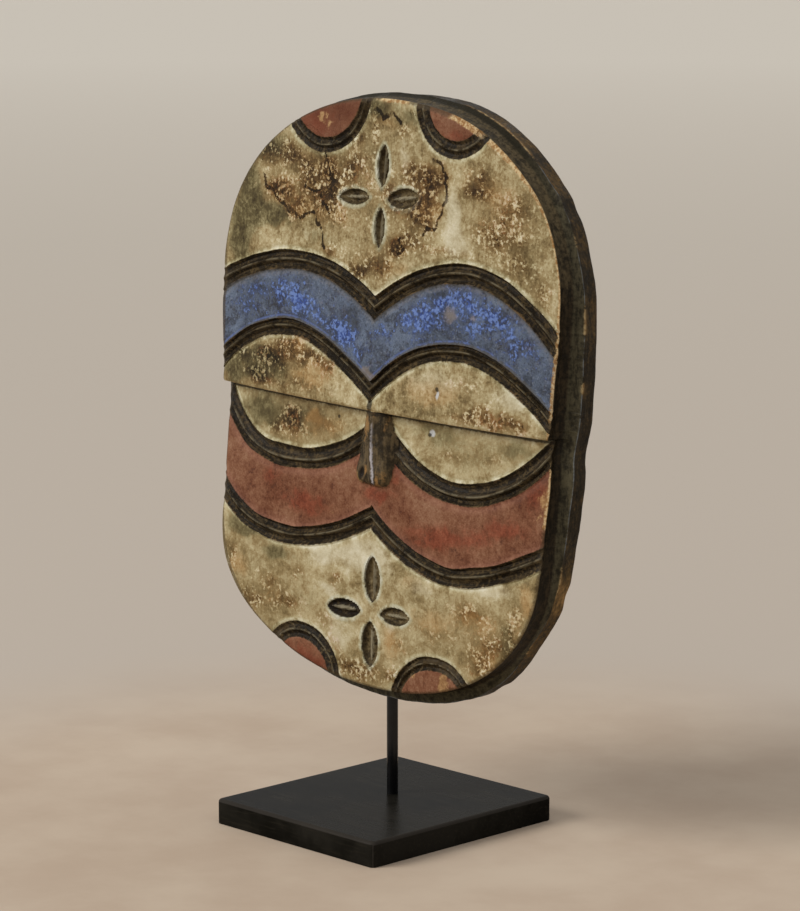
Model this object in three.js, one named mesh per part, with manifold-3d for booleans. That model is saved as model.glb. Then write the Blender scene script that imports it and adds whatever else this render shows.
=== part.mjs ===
// Teke mask: a flat, carved and painted wooden face mask, held up by a thin steel
// rod that stands in a square black wooden base plate.
// Millimetres, +Z up. The origin is the centre of the base plate's underside, and
// the mask faces -Y.
import * as THREE from 'three';
import { mergeVertices } from 'three/addons/utils/BufferGeometryUtils.js';
import Module from 'manifold-3d';

const wasm = await Module();
wasm.setup();

// The base plate and the rod.
const PLATE = { width: 160, depth: 176, height: 18, corner: 1.5, topRound: 3.2 };
const ROD = { x: -3.3, y: 11.2, diameter: 8, sides: 24, socketInPlate: 12, socketInMask: 26 };
const GAP = 0.3;
const MERGE_DISTANCE = 1e-5;

// Where the mask hangs: its own centre, and its small turn to the viewer's right.
const MASK_CENTRE = new THREE.Vector3(-0.36, -10.83, 299.82);
const MASK_TURN = THREE.MathUtils.degToRad(1.2);

// The mask's face, in the mask's own axes: x to the viewer's right, y up. Its sides
// are nearly straight between two half ellipses.
const FACE = {
  topHalfWidth: 166.5, topCentre: 90, topRise: 121,
  chinHalfWidth: 158.5, chinCentre: -95, chinRise: 106, chinRoundness: 2.12,
};
// The depth of the face behind the mask's centre plane. The upper half is a slab
// that leans out to the level step under the brow. The lower half lies deeper.
const STEP_Y = -3.5;
const STEP_RUN = 0.8;
const UPPER = { middle: -4, middleSlope: 0.068, edge: 5.5, edgeSlope: 0.054 };
const LOWER = {
  middle: 6, middleLength: 70, middlePower: 1.5,
  edge: 13, chinEdge: -5, edgeLength: 197, edgePower: 1.3,
};
// The flat back, which leans a little, and the rim around it. The rim stands out
// furthest at the sides, and again along the top and the chin.
const BACK = { depth: 36, slope: 0.035, edgeRound: 1.5 };
const RIM = {
  side: 11.4, sideAt: 10, sideReach: 150,
  top: 3.8, topFrom: 110, topFull: 155, chin: 9.2, chinFrom: -145, chinFull: -190,
  flank: 13,
};
const COVE = { upper: -2, upperAt: 0.3, lower: -1.4, lowerAt: 0.66 };

// The four carved black lines. Each is a pair of lobes that meet in the middle, and
// each lobe is a crest with an inner and an outer end and the power of its curve.
const LINES = {
  brow: {
    left: { crest: [-82, 92.7], inner: [0, 67.8], outer: [-166, 69.8], innerPower: 2.2, outerPower: 1.9 },
    right: { crest: [82, 99.3], inner: [0, 67.8], outer: [166, 58.4], innerPower: 1.9, outerPower: 2 },
    halfWidth: 6.8,
  },
  lid: {
    left: { crest: [-85, 44.5], inner: [0, 9.6], outer: [-162, 14.5], innerPower: 1.7, outerPower: 2.1 },
    right: { crest: [83, 45.5], inner: [0, 9.6], outer: [162, 8.6], innerPower: 2.2, outerPower: 1.8 },
    halfWidth: 5.7,
  },
  eye: {
    left: { crest: [-86, -49], inner: [4, -14.5], outer: [-162, -12], innerPower: 2.1, outerPower: 2.9 },
    right: { crest: [86, -51], inner: [4, -14.5], outer: [160, -15], innerPower: 2.2, outerPower: 1.9 },
    halfWidth: 7.6,
  },
  cheek: {
    left: { crest: [-85.6, -105.4], inner: [0, -79.2], outer: [-157, -82], innerPower: 1.7, outerPower: 2.4 },
    right: { crest: [78.5, -109], inner: [0, -79.2], outer: [156, -85.5], innerPower: 2.1, outerPower: 1.7 },
    halfWidth: 6.8,
  },
};
// Across a line: two grooves with a thin crest between them. Places are parts of
// the half width, and depths are below the field.
const LINE_PROFILE = [[1, 0], [0.58, 2.8], [0.14, -0.6], [-0.14, -0.6], [-0.58, 2.8], [-1, 0]];

// The least room between the step and the eye lines' upper edges.
const EYE_ROOM = 1.5;

// The grid that the face is built on: columns, rows in each painted field, how far
// along the end arcs its corners are, and the tries that settle a row's ends.
const COLUMNS = 40;
const FIELD_ROWS = { forehead: 7, brow: 4, upperEye: 3, lowerEye: 3, cheek: 4, chin: 7 };
const CORNER = 0.62;
const SETTLE_TRIES = 30;

// The petals of the two four-petalled flowers: centre, half length, half width, the
// turn of the long axis from level, and the cut's depth.
const PETALS = [
  { at: [1.1, 165.2], long: 14, wide: 5, turn: 90 },
  { at: [1.6, 123], long: 14, wide: 4.6, turn: 90 },
  { at: [-27, 141.2], long: 15.5, wide: 4.6, turn: 4 },
  { at: [21.3, 144.7], long: 15, wide: 7, turn: 8 },
  { at: [2, -123], long: 16.5, wide: 7, turn: 90 },
  { at: [0, -170], long: 17, wide: 7, turn: 90 },
  { at: [-26, -147], long: 17, wide: 6.2, turn: 6 },
  { at: [25.5, -145.5], long: 14.5, wide: 5.8, turn: 3 },
];
// Across a petal the floor has a ridge: places are parts of the half width, and
// depths are parts of the cut's depth.
const PETAL_FLOOR = [[-1, 0], [-0.55, 0.9], [0, 0.45], [0.55, 0.9], [1, 0]];
const PETAL = { depth: 4, above: 6, stations: 6, tip: 0.05, taper: 0.7 };
// The roundels that the rim cuts off: centre and the radius of their carved ring.
const ROUNDELS = [
  { at: [-62, 215], ring: 42 },
  { at: [66, 213], ring: 31 },
  { at: [-70, -207], ring: 35 },
  { at: [66, -214], ring: 42 },
];
const RING = { tube: 4.5, sunk: 2.2, sides: 5, steps: 32 };

// The nose: a ridge that starts at the step and spreads into two low wings. Each
// station is its height on the face, its left and right foot and its ridge.
const NOSE = [
  { y: 2, left: -11.5, right: 14.5, ridge: 3.5, front: -3.8 },
  { y: -22, left: -13, right: 18.5, ridge: 2.6, front: -3.8 },
  { y: -42, left: -16, right: 20, ridge: 3.6, front: -4.4 },
  { y: -52, left: -16, right: 19, ridge: 5.8, front: -4.8 },
  { y: -57, left: -12, right: 15, ridge: 5.3, front: -2 },
];
const NOSE_FORM = { root: 9, shoulderAt: 0.55, shoulderIn: 1.5, ridgeHalf: 2 };

const lerp = THREE.MathUtils.lerp;

// Half the face's width at height y.
function halfWidth(y) {
  if (y > FACE.topCentre) {
    const rise = Math.min(1, (y - FACE.topCentre) / FACE.topRise);
    return FACE.topHalfWidth * Math.sqrt(1 - rise * rise);
  }
  if (y < FACE.chinCentre) {
    const drop = Math.min(1, (FACE.chinCentre - y) / FACE.chinRise);
    return FACE.chinHalfWidth * Math.pow(1 - Math.pow(drop, FACE.chinRoundness), 1 / FACE.chinRoundness);
  }
  const up = (y - FACE.chinCentre) / (FACE.topCentre - FACE.chinCentre);
  return lerp(FACE.chinHalfWidth, FACE.topHalfWidth, up);
}

// The height of the outline's top or bottom arc above a given x.
function topArc(x) {
  return FACE.topCentre + FACE.topRise * Math.sqrt(1 - (x / FACE.topHalfWidth) ** 2);
}

function chinArc(x) {
  const part = Math.pow(Math.abs(x) / FACE.chinHalfWidth, FACE.chinRoundness);
  return FACE.chinCentre - FACE.chinRise * Math.pow(1 - part, 1 / FACE.chinRoundness);
}

// The depth of the plain face, before any carving.
function faceDepth(x, y, below) {
  const across = Math.min(1, (x / FACE.topHalfWidth) ** 2);
  if (!below) {
    return lerp(UPPER.middle + UPPER.middleSlope * y, UPPER.edge + UPPER.edgeSlope * y, across);
  }
  const down = STEP_Y - y;
  const middlePart = Math.max(0, 1 - down / LOWER.middleLength);
  const middle = LOWER.middle * Math.pow(middlePart, LOWER.middlePower);
  const edgePart = Math.pow(Math.max(0, 1 - down / LOWER.edgeLength), LOWER.edgePower);
  return lerp(middle, lerp(LOWER.chinEdge, LOWER.edge, edgePart), across);
}

function backDepth(y) {
  return BACK.depth + BACK.slope * y;
}

// How far the rim stands out beyond the face's outline.
function rimStand(y) {
  const away = Math.min(1, Math.abs(y - RIM.sideAt) / RIM.sideReach);
  const side = RIM.side * Math.cos(away * Math.PI / 2);
  const top = RIM.top * THREE.MathUtils.smoothstep(y, RIM.topFrom, RIM.topFull);
  const chin = RIM.chin * THREE.MathUtils.smoothstep(-y, -RIM.chinFrom, -RIM.chinFull);
  return side + top + chin;
}

// The height of a black line's middle at x, and its half width measured upright.
function lineAt(line, x) {
  const lobe = x < 0 ? line.left : line.right;
  const inward = Math.abs(x) < Math.abs(lobe.crest[0]);
  const end = inward ? lobe.inner : lobe.outer;
  const power = inward ? lobe.innerPower : lobe.outerPower;
  const reach = end[0] - lobe.crest[0];
  const part = Math.abs((x - lobe.crest[0]) / reach);
  const rise = end[1] - lobe.crest[1];
  const slope = power * rise / reach * Math.pow(part, power - 1);
  return {
    y: lobe.crest[1] + rise * Math.pow(part, power),
    half: line.halfWidth * Math.sqrt(1 + slope * slope),
  };
}

// One row of the grid from a curve: its ends lie on the outline.
function rowFromCurve(curve, depthAt) {
  const row = [];
  const ends = [-1, 1].map((side) => {
    let x = side * FACE.chinHalfWidth;
    for (let tries = 0; tries < SETTLE_TRIES; tries += 1) {
      x = side * halfWidth(curve(x));
    }
    return x;
  });
  for (let column = 0; column <= COLUMNS; column += 1) {
    const u = 2 * column / COLUMNS - 1;
    const x = u < 0 ? -u * ends[0] : u * ends[1];
    const y = curve(x);
    row.push(new THREE.Vector3(x, y, depthAt(x, y)));
  }
  return row;
}

// The rows of one black line, from its upper edge to its lower edge.
function lineRows(line, below) {
  return LINE_PROFILE.map(([place, cut]) => {
    const curve = (x) => {
      const middle = lineAt(line, x);
      const y = middle.y + place * middle.half;
      return below ? Math.min(y, STEP_Y - STEP_RUN - EYE_ROOM + place) : y;
    };
    return rowFromCurve(curve, (x, y) => faceDepth(x, y, below) + cut);
  });
}

// Rows between two rows, at equal parts of the way.
function rowsBetween(upper, lower, count, below) {
  const rows = [];
  for (let k = 1; k < count; k += 1) {
    rows.push(rowFromEnds(upper, lower, k / count, below));
  }
  return rows;
}

// A row part of the way from one row to another, with its ends kept on the outline.
function rowFromEnds(upper, lower, part, below) {
  const last = COLUMNS;
  const endY = [0, last].map((column) => lerp(upper[column].y, lower[column].y, part));
  return upper.map((point, column) => {
    const u = 2 * column / COLUMNS - 1;
    const side = u < 0 ? 0 : 1;
    const x = u * halfWidth(endY[side]);
    const y = lerp(point.y, lower[column].y, part);
    return new THREE.Vector3(x, y, faceDepth(x, y, below));
  });
}

// The last row of the face, on the outline's end arc.
function arcRow(arc, reach, below) {
  const row = [];
  for (let column = 0; column <= COLUMNS; column += 1) {
    const x = (2 * column / COLUMNS - 1) * reach;
    const y = arc(x);
    row.push(new THREE.Vector3(x, y, faceDepth(x, y, below)));
  }
  return row;
}

// All rows of the face from the top of the forehead to the chin.
function faceRows() {
  const top = arcRow(topArc, CORNER * FACE.topHalfWidth, false);
  const chin = arcRow(chinArc, CORNER * FACE.chinHalfWidth, true);
  const brow = lineRows(LINES.brow, false);
  const lid = lineRows(LINES.lid, false);
  const eye = lineRows(LINES.eye, true);
  const cheek = lineRows(LINES.cheek, true);
  const ledge = rowFromCurve(() => STEP_Y, (x, y) => faceDepth(x, y, false));
  const foot = rowFromCurve(() => STEP_Y - STEP_RUN, (x, y) => faceDepth(x, y, true));
  return [
    top, ...rowsBetween(top, brow[0], FIELD_ROWS.forehead, false), ...brow,
    ...rowsBetween(brow.at(-1), lid[0], FIELD_ROWS.brow, false), ...lid,
    ...rowsBetween(lid.at(-1), ledge, FIELD_ROWS.upperEye, false), ledge, foot,
    ...rowsBetween(foot, eye[0], FIELD_ROWS.lowerEye, true), ...eye,
    ...rowsBetween(eye.at(-1), cheek[0], FIELD_ROWS.cheek, true), ...cheek,
    ...rowsBetween(cheek.at(-1), chin, FIELD_ROWS.chin, true), chin,
  ];
}

// The outward direction of the outline at a point on it.
function outward(point) {
  const side = Math.sign(point.x);
  if (point.y > FACE.topCentre) {
    const across = point.x / FACE.topHalfWidth ** 2;
    const up = (point.y - FACE.topCentre) / FACE.topRise ** 2;
    return new THREE.Vector2(across, up).normalize();
  }
  if (point.y < FACE.chinCentre) {
    const power = FACE.chinRoundness - 1;
    const across = Math.pow(Math.abs(point.x) / FACE.chinHalfWidth, power) / FACE.chinHalfWidth;
    const down = Math.pow((FACE.chinCentre - point.y) / FACE.chinRise, power) / FACE.chinRise;
    return new THREE.Vector2(side * across, -down).normalize();
  }
  const slope = (FACE.topHalfWidth - FACE.chinHalfWidth) / (FACE.topCentre - FACE.chinCentre);
  return new THREE.Vector2(side, -slope).normalize();
}

// The rings of the mask's side, from the face's edge to the edge of the back. The
// notches of the black lines end in the face's own edge.
function sideRings(loop) {
  const ring = (standAt, depthAt) => loop.map((point) => {
    const out = outward(point);
    const stand = standAt(point.y);
    const y = point.y + out.y * stand;
    return new THREE.Vector3(point.x + out.x * stand, y, depthAt(point, y));
  });
  const arris = (y) => backDepth(y) - RIM.flank;
  const coveDepth = (point, y, part) => lerp(faceDepth(point.x, point.y, point.y < STEP_Y), arris(y), part);
  return [
    ring(() => COVE.upper, (point, y) => coveDepth(point, y, COVE.upperAt)),
    ring(() => COVE.lower, (point, y) => coveDepth(point, y, COVE.lowerAt)),
    ring(rimStand, (point, y) => arris(y)),
    ring(rimStand, (point, y) => backDepth(y) - BACK.edgeRound),
    ring((y) => rimStand(y) - BACK.edgeRound, (point, y) => backDepth(y)),
  ];
}

// A triangle mesh from a list of points and corner numbers.
function meshGeometry(points, corners) {
  const geometry = new THREE.BufferGeometry();
  const flat = points.flatMap((point) => [point.x, point.y, point.z]);
  geometry.setAttribute('position', new THREE.Float32BufferAttribute(flat, 3));
  geometry.setIndex(corners);
  return geometry;
}

// The mask's solid before the nose is added and the flowers are cut. Points hold
// x, y and the depth behind the centre plane.
function maskBody() {
  const rows = faceRows();
  const width = COLUMNS + 1;
  const points = rows.flat();
  const corners = [];
  const quad = (a, b, c, d) => corners.push(a, b, c, a, c, d);
  for (let row = 0; row + 1 < rows.length; row += 1) {
    for (let column = 0; column < COLUMNS; column += 1) {
      const at = row * width + column;
      quad(at, at + 1, at + width + 1, at + width);
    }
  }
  const loop = [];
  for (let column = 0; column < COLUMNS; column += 1) {
    loop.push(column);
  }
  for (let row = 0; row + 1 < rows.length; row += 1) {
    loop.push(row * width + COLUMNS);
  }
  for (let column = COLUMNS; column > 0; column -= 1) {
    loop.push((rows.length - 1) * width + column);
  }
  for (let row = rows.length - 1; row > 0; row -= 1) {
    loop.push(row * width);
  }
  let inner = loop;
  for (const ring of sideRings(loop.map((number) => points[number]))) {
    const start = points.length;
    points.push(...ring);
    const outer = ring.map((point, k) => start + k);
    for (let k = 0; k < loop.length; k += 1) {
      const next = (k + 1) % loop.length;
      quad(inner[k], outer[k], outer[next], inner[next]);
    }
    inner = outer;
  }
  const contour = inner.map((number) => new THREE.Vector2(points[number].x, points[number].y));
  for (const [a, b, c] of THREE.ShapeUtils.triangulateShape(contour, [])) {
    corners.push(inner[a], inner[b], inner[c]);
  }
  return meshGeometry(points, corners);
}

// A closed solid from sections with the same number of points each.
function loft(sections) {
  const count = sections[0].length;
  const corners = [];
  for (let k = 0; k + 1 < sections.length; k += 1) {
    for (let j = 0; j < count; j += 1) {
      const a = k * count + j;
      const b = k * count + (j + 1) % count;
      corners.push(a, b, b + count, a, b + count, a + count);
    }
  }
  const last = (sections.length - 1) * count;
  for (let j = 1; j + 1 < count; j += 1) {
    corners.push(0, j + 1, j, last, last + j, last + j + 1);
  }
  return meshGeometry(sections.flat(), corners);
}

// The nose, with its ridge, two shoulders and its feet in the face.
function noseGeometry() {
  const sections = NOSE.map(({ y, left, right, ridge, front }) => {
    const shoulder = lerp(NOSE_FORM.root, front, NOSE_FORM.shoulderAt);
    return [
      new THREE.Vector3(left, y, NOSE_FORM.root),
      new THREE.Vector3(left + NOSE_FORM.shoulderIn, y, shoulder),
      new THREE.Vector3(ridge - NOSE_FORM.ridgeHalf, y, front),
      new THREE.Vector3(ridge + NOSE_FORM.ridgeHalf, y, front),
      new THREE.Vector3(right - NOSE_FORM.shoulderIn, y, shoulder),
      new THREE.Vector3(right, y, NOSE_FORM.root),
    ];
  });
  return loft(sections);
}

// The cutter of one petal: a lens in plan, with a ridge along its floor.
function petalGeometry({ at, long, wide, turn }) {
  const angle = THREE.MathUtils.degToRad(turn);
  const below = at[1] < STEP_Y;
  const sections = [];
  for (let k = 0; k <= PETAL.stations; k += 1) {
    const along = 2 * k / PETAL.stations - 1;
    const full = Math.max(PETAL.tip, 1 - along * along);
    const place = (across, cut) => {
      const s = along * long;
      const v = across * wide * Math.pow(full, PETAL.taper);
      const x = at[0] + s * Math.cos(angle) - v * Math.sin(angle);
      const y = at[1] + s * Math.sin(angle) + v * Math.cos(angle);
      return new THREE.Vector3(x, y, faceDepth(x, y, below) + cut);
    };
    const cut = PETAL_FLOOR.map(([across, deep]) => place(across, deep * PETAL.depth * full));
    sections.push([...cut, place(1, -PETAL.above), place(-1, -PETAL.above)]);
  }
  return loft(sections);
}

// The cutter of a roundel's carved ring.
function roundelGeometry({ at, ring }) {
  const below = at[1] < STEP_Y;
  const geometry = new THREE.TorusGeometry(ring, RING.tube, RING.sides, RING.steps);
  const places = geometry.getAttribute('position');
  for (let k = 0; k < places.count; k += 1) {
    const x = places.getX(k) + at[0];
    const y = places.getY(k) + at[1];
    places.setXYZ(k, x, y, -places.getZ(k) + faceDepth(x, y, below) - RING.tube + RING.sunk);
  }
  return geometry;
}

// A three.js geometry as a solid that can be joined and cut. One that is inside out
// has its corners turned round.
function solid(source) {
  const bare = source.clone();
  bare.deleteAttribute('normal');
  bare.deleteAttribute('uv');
  const merged = mergeVertices(bare, MERGE_DISTANCE);
  const vertProperties = new Float32Array(merged.getAttribute('position').array);
  const corners = new Uint32Array(merged.index.array);
  const build = (triVerts) => new wasm.Manifold(new wasm.Mesh({ numProp: 3, vertProperties, triVerts }));
  const made = build(corners);
  return made.volume() > 0 ? made : build(corners.toReversed());
}

function geometryOf(made) {
  const mesh = made.getMesh();
  const geometry = new THREE.BufferGeometry();
  geometry.setAttribute('position', new THREE.BufferAttribute(new Float32Array(mesh.vertProperties), 3));
  geometry.setIndex(new THREE.BufferAttribute(new Uint32Array(mesh.triVerts), 1));
  return geometry;
}

// An upright cylinder between two heights at the rod's place.
function rodCylinder(radius, from, to) {
  const geometry = new THREE.CylinderGeometry(radius, radius, to - from, ROD.sides);
  geometry.rotateX(Math.PI / 2);
  geometry.translate(ROD.x, ROD.y, (from + to) / 2);
  return geometry;
}

// From the mask's own axes to the object's: depth becomes +Y and up becomes +Z.
function placeMask(geometry) {
  const places = geometry.getAttribute('position');
  for (let k = 0; k < places.count; k += 1) {
    const x = places.getX(k);
    const y = places.getY(k);
    const depth = places.getZ(k);
    places.setXYZ(
      k,
      MASK_CENTRE.x + x * Math.cos(MASK_TURN) + y * Math.sin(MASK_TURN),
      MASK_CENTRE.y + depth,
      MASK_CENTRE.z - x * Math.sin(MASK_TURN) + y * Math.cos(MASK_TURN),
    );
  }
  return geometry;
}

const chinZ = MASK_CENTRE.z + FACE.chinCentre - FACE.chinRise;
const rodTop = chinZ + ROD.socketInMask;
const rodFoot = PLATE.height - ROD.socketInPlate;

function maskMesh() {
  let made = solid(placeMask(maskBody())).add(solid(placeMask(noseGeometry())));
  for (const petal of PETALS) {
    made = made.subtract(solid(placeMask(petalGeometry(petal))));
  }
  for (const roundel of ROUNDELS) {
    made = made.subtract(solid(placeMask(roundelGeometry(roundel))));
  }
  const socket = rodCylinder(ROD.diameter / 2 + GAP, chinZ - 2 * ROD.socketInMask, rodTop + GAP);
  made = made.subtract(solid(socket));
  const mesh = new THREE.Mesh(
    geometryOf(made),
    new THREE.MeshStandardMaterial({ color: 0xa8977a, roughness: 0.75, metalness: 0 }),
  );
  mesh.name = 'mask';
  return mesh;
}

function rodMesh() {
  const mesh = new THREE.Mesh(
    rodCylinder(ROD.diameter / 2, rodFoot + GAP, rodTop),
    new THREE.MeshStandardMaterial({ color: 0x141312, roughness: 0.35, metalness: 0.6 }),
  );
  mesh.name = 'rod';
  return mesh;
}

// The plate is rounded above and below, and then its lower round is cut off flat.
function plateMesh() {
  const { width, depth, height, corner, topRound } = PLATE;
  const halfX = width / 2 - topRound;
  const halfY = depth / 2 - topRound;
  const shape = new THREE.Shape();
  shape.moveTo(-halfX + corner, -halfY);
  shape.lineTo(halfX - corner, -halfY);
  shape.absarc(halfX - corner, -halfY + corner, corner, -Math.PI / 2, 0);
  shape.absarc(halfX - corner, halfY - corner, corner, 0, Math.PI / 2);
  shape.absarc(-halfX + corner, halfY - corner, corner, Math.PI / 2, Math.PI);
  shape.absarc(-halfX + corner, -halfY + corner, corner, Math.PI, 1.5 * Math.PI);
  const slab = new THREE.ExtrudeGeometry(shape, {
    depth: height, curveSegments: 3, bevelSize: topRound, bevelThickness: topRound, bevelSegments: 4,
  });
  slab.translate(0, 0, -topRound);
  const above = new THREE.BoxGeometry(2 * width, 2 * depth, 2 * height);
  above.translate(0, 0, height);
  const socket = rodCylinder(ROD.diameter / 2 + GAP, rodFoot, 2 * height);
  const made = solid(slab).intersect(solid(above)).subtract(solid(socket));
  const mesh = new THREE.Mesh(
    geometryOf(made),
    new THREE.MeshStandardMaterial({ color: 0x17140f, roughness: 0.3, metalness: 0 }),
  );
  mesh.name = 'base_plate';
  return mesh;
}

const object = new THREE.Group();
object.add(plateMesh(), rodMesh(), maskMesh());
export default object;
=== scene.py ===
import math

import bmesh
import bpy
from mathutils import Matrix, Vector, noise


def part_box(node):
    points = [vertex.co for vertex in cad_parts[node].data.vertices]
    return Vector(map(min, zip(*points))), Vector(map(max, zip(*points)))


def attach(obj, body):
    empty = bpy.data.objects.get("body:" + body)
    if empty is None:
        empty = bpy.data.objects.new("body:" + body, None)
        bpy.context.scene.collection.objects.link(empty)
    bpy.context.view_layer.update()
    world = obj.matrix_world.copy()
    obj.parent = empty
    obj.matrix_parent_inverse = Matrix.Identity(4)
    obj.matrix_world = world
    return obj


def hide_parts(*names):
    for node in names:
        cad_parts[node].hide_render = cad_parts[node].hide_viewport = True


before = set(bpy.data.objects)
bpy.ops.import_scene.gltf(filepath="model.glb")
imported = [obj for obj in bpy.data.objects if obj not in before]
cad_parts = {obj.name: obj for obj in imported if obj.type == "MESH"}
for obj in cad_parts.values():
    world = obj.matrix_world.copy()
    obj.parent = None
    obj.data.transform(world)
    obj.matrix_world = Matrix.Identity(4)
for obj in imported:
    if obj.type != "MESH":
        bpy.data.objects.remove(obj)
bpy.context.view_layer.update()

MM = 0.001

# The mask's own axes are x to the viewer's right, y up and depth backwards, in
# millimetres from its centre. This is where they lie on the stand.
MASK_CENTRE = (-0.36, -10.83, 299.82)
MASK_TURN = math.radians(1.2)

# The face's outline: nearly straight sides between two half ellipses.
TOP_HALF_WIDTH = 166.5
TOP_CENTRE = 90
TOP_RISE = 121
CHIN_HALF_WIDTH = 158.5
CHIN_CENTRE = -95
CHIN_RISE = 106
CHIN_ROUNDNESS = 2.12
# Where the hand-made outline leaves those curves: place, reach and how far out.
BULGES = (
    ((75, 188), 44, 2.6), ((-166, 58), 34, 3.0), ((-152, 126), 22, -1.0), ((-146, -133), 40, 2.6),
    ((163, 112), 34, -1.8), ((162, -14), 14, -2.5),
)

# The face's depth. The upper half is a slab that leans out to a level step, and
# the lower half lies deeper.
STEP_Y = -3.5
STEP_RUN = 0.8
UPPER = {"middle": -4, "middle_slope": 0.068, "edge": 5.5, "edge_slope": 0.054}
LOWER = {"middle": 6, "middle_length": 70, "middle_power": 1.5,
         "edge": 13, "chin_edge": -5, "edge_length": 197, "edge_power": 1.3}
BACK_DEPTH = 36
BACK_SLOPE = 0.035
# The rim stands out furthest at the sides, and again along the top and the chin.
RIM = {"side": 11.4, "side_at": 10, "side_reach": 150, "top": 3.8, "top_from": 110, "top_full": 155,
       "chin": 9.2, "chin_from": 145, "chin_full": 190, "flank": 13}

# The four black lines, each a pair of lobes: crest, inner end, outer end, and the
# power of the curve inwards and outwards. Then half the line's width.
LINES = {
    "brow": (((-82, 92.7), (0, 67.8), (-166, 69.8), 2.2, 1.9),
             ((82, 99.3), (0, 67.8), (166, 58.4), 1.9, 2.0), 6.8),
    "lid": (((-85, 44.5), (0, 9.6), (-162, 14.5), 1.7, 2.1),
            ((83, 45.5), (0, 9.6), (162, 8.6), 2.2, 1.8), 5.7),
    "eye": (((-86, -49), (4, -14.5), (-162, -12), 2.1, 2.9),
            ((86, -51), (4, -14.5), (160, -15), 2.2, 1.9), 7.6),
    "cheek": (((-85.6, -105.4), (0, -79.2), (-157, -82), 1.7, 2.4),
              ((78.5, -109), (0, -79.2), (156, -85.5), 2.1, 1.7), 6.8),
}
EYE_ROOM = 1.5
GROOVE = {"depth": 2.8, "crest": 0.5, "crest_half": 0.05, "middle": 0.57, "round": 2.0, "wall": 1.6}
# Where each crest lies across its line. A groove grows shallow at the face's edge.
CREST_AT = {"brow": 0.06, "lid": 0.2, "eye": -0.2, "cheek": 0.08}
GROOVE_END = {"shallow": 0.3, "reach": 9}
LINE_WOBBLE = {"middle": 0.6, "middle_scale": 28, "width": 0.1, "width_scale": 22, "seed_step": 7.3}

# The grid of the face: rows in each field, and columns, closer in the middle where
# the nose and the flowers are.
LINE_PLACES = (1, 0.85, 0.65, 0.42, 0.22, 0.09, 0, -0.09, -0.22, -0.42, -0.65, -0.85, -1)
FIELD_ROWS = {"forehead": 92, "brow": 26, "upper_eye": 26, "lower_eye": 26, "cheek": 28, "chin": 80}
MIDDLE_COLUMNS = 88
SIDE_COLUMNS = 56
MIDDLE_PART = 0.29
CORNER = 0.62
SETTLE_TRIES = 12
# The colours of the fields, and the values that stand for far away and for no place
# across a line or the nose. Then the seeds of the unevenness.
WHITE, BLUE, RED = 0, 1, 2
FAR = 60
OFF_LINE = 2.0
OFF_NOSE = -2.0
SEED = {"line": 1, "line_width": 2, "field": 3, "nose": 9, "back": 12, "dab_across": 21, "dab_up": 23,
        "tide_across": 31, "tide_up": 32}

# The petals: centre, half length, half width and the turn from level in degrees.
PETALS = (
    ((0, 165.4), 14.6, 5.4, 90), ((0.2, 123), 14, 5, 90),
    ((-27, 142), 15.5, 5.5, 4), ((21.3, 144.7), 15, 7, 8),
    ((2, -123.6), 16.5, 7.8, 90), ((0.4, -170.2), 16.5, 8.4, 90),
    ((-26.4, -148.8), 17.3, 6.9, 4), ((25, -146.2), 15, 6.4, 3),
)
PETAL = {"depth": 4, "rise": 0.6, "taper": 0.7, "wall": 0.42, "ridge": 0.75, "ridge_half": 0.38,
         "lip": 0.5, "lip_reach": 2.5, "near": 32}
DARK_PETAL = 6

# The roundels that the rim cuts off: centre, the radius of the carved ring and
# half its width.
ROUNDELS = (
    ((-62, 217), 41.8, 5.3), ((66, 213), 31.8, 6), ((-70, -207), 35, 6), ((66, -214), 41.5, 4.8),
)
ROUNDEL_WOBBLE = {"size": 0.5, "scale": 18}
RING_DEPTH = 0.8

# The nose from its root down: height, left foot, right foot, ridge and how deep
# the ridge lies. Its sides: how steady, how steep and the power of the curve. Its
# foot: how softly it ends, how deep it is sunk and how far across it reaches. Then
# its two wings and the dimple of one: centre, radius and height.
NOSE = (
    (2, -12, 12.5, 3.5, -3.8), (-22, -14.5, 20.5, 2.8, -4.2), (-36, -17, 22.5, 3.4, -4.8),
    (-50, -18.5, 20, 5.4, -5.2), (-54, -17, 18, 5.5, -4.6), (-56, -13.5, 15.5, 5.3, -1.8),
)
NOSE_LEFT = (0.75, 0.25, 3)
NOSE_RIGHT = (0.34, 0.66, 4)
NOSE_FOOT = 1.2
NOSE_SUNK = 1.5
NOSE_REACH = 1.4
NOSE_UNEVEN = {"size": 0.3, "scale": 5}
SQUEEZE = {"wing": 0.8, "dimple": 0.7}
NOSE_WINGS = (((-9.5, -48), 8.5, 2.8), ((14, -47), 7.5, 1.4))
WING_DIMPLE = ((-5.8, -47.8), 3.4, 1.8)
# The nail holes in the eyes, the chips where pale ground shows beside them, and the
# dark marks: the holes themselves and the tip of the lid line. Centre, and for the
# last two half width and half height.
NAIL_MARKS = ((64.4, 17), (53.2, -13.6), (-39.5, -13.8))
NAIL = {"radius": 2.4, "depth": 1.2}
CHIPS = (((64.8, 15.2), 1.4, 3.2), ((53.8, -13.3), 2.8, 2.5))
DARK_MARKS = (((64.3, 19.1), 1.6, 1.8), ((51.3, -14.7), 1.5, 1.3), ((-39.5, -13.8), 1.3, 1.3),
              ((0.6, 1.0), 2.4, 6.0))

# The side of the mask, from the face's edge back to the rim: millimetres out from
# the outline, how much of the rim's stand is added, and how far back.
COVE = ((0.3, 0, 0.06), (-0.6, 0, 0.2), (-0.8, 0, 0.38), (-0.4, 0.02, 0.55), (0.2, 0.08, 0.7),
        (0.6, 0.2, 0.82), (0.4, 0.45, 0.9), (0.1, 0.8, 0.97))
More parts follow.
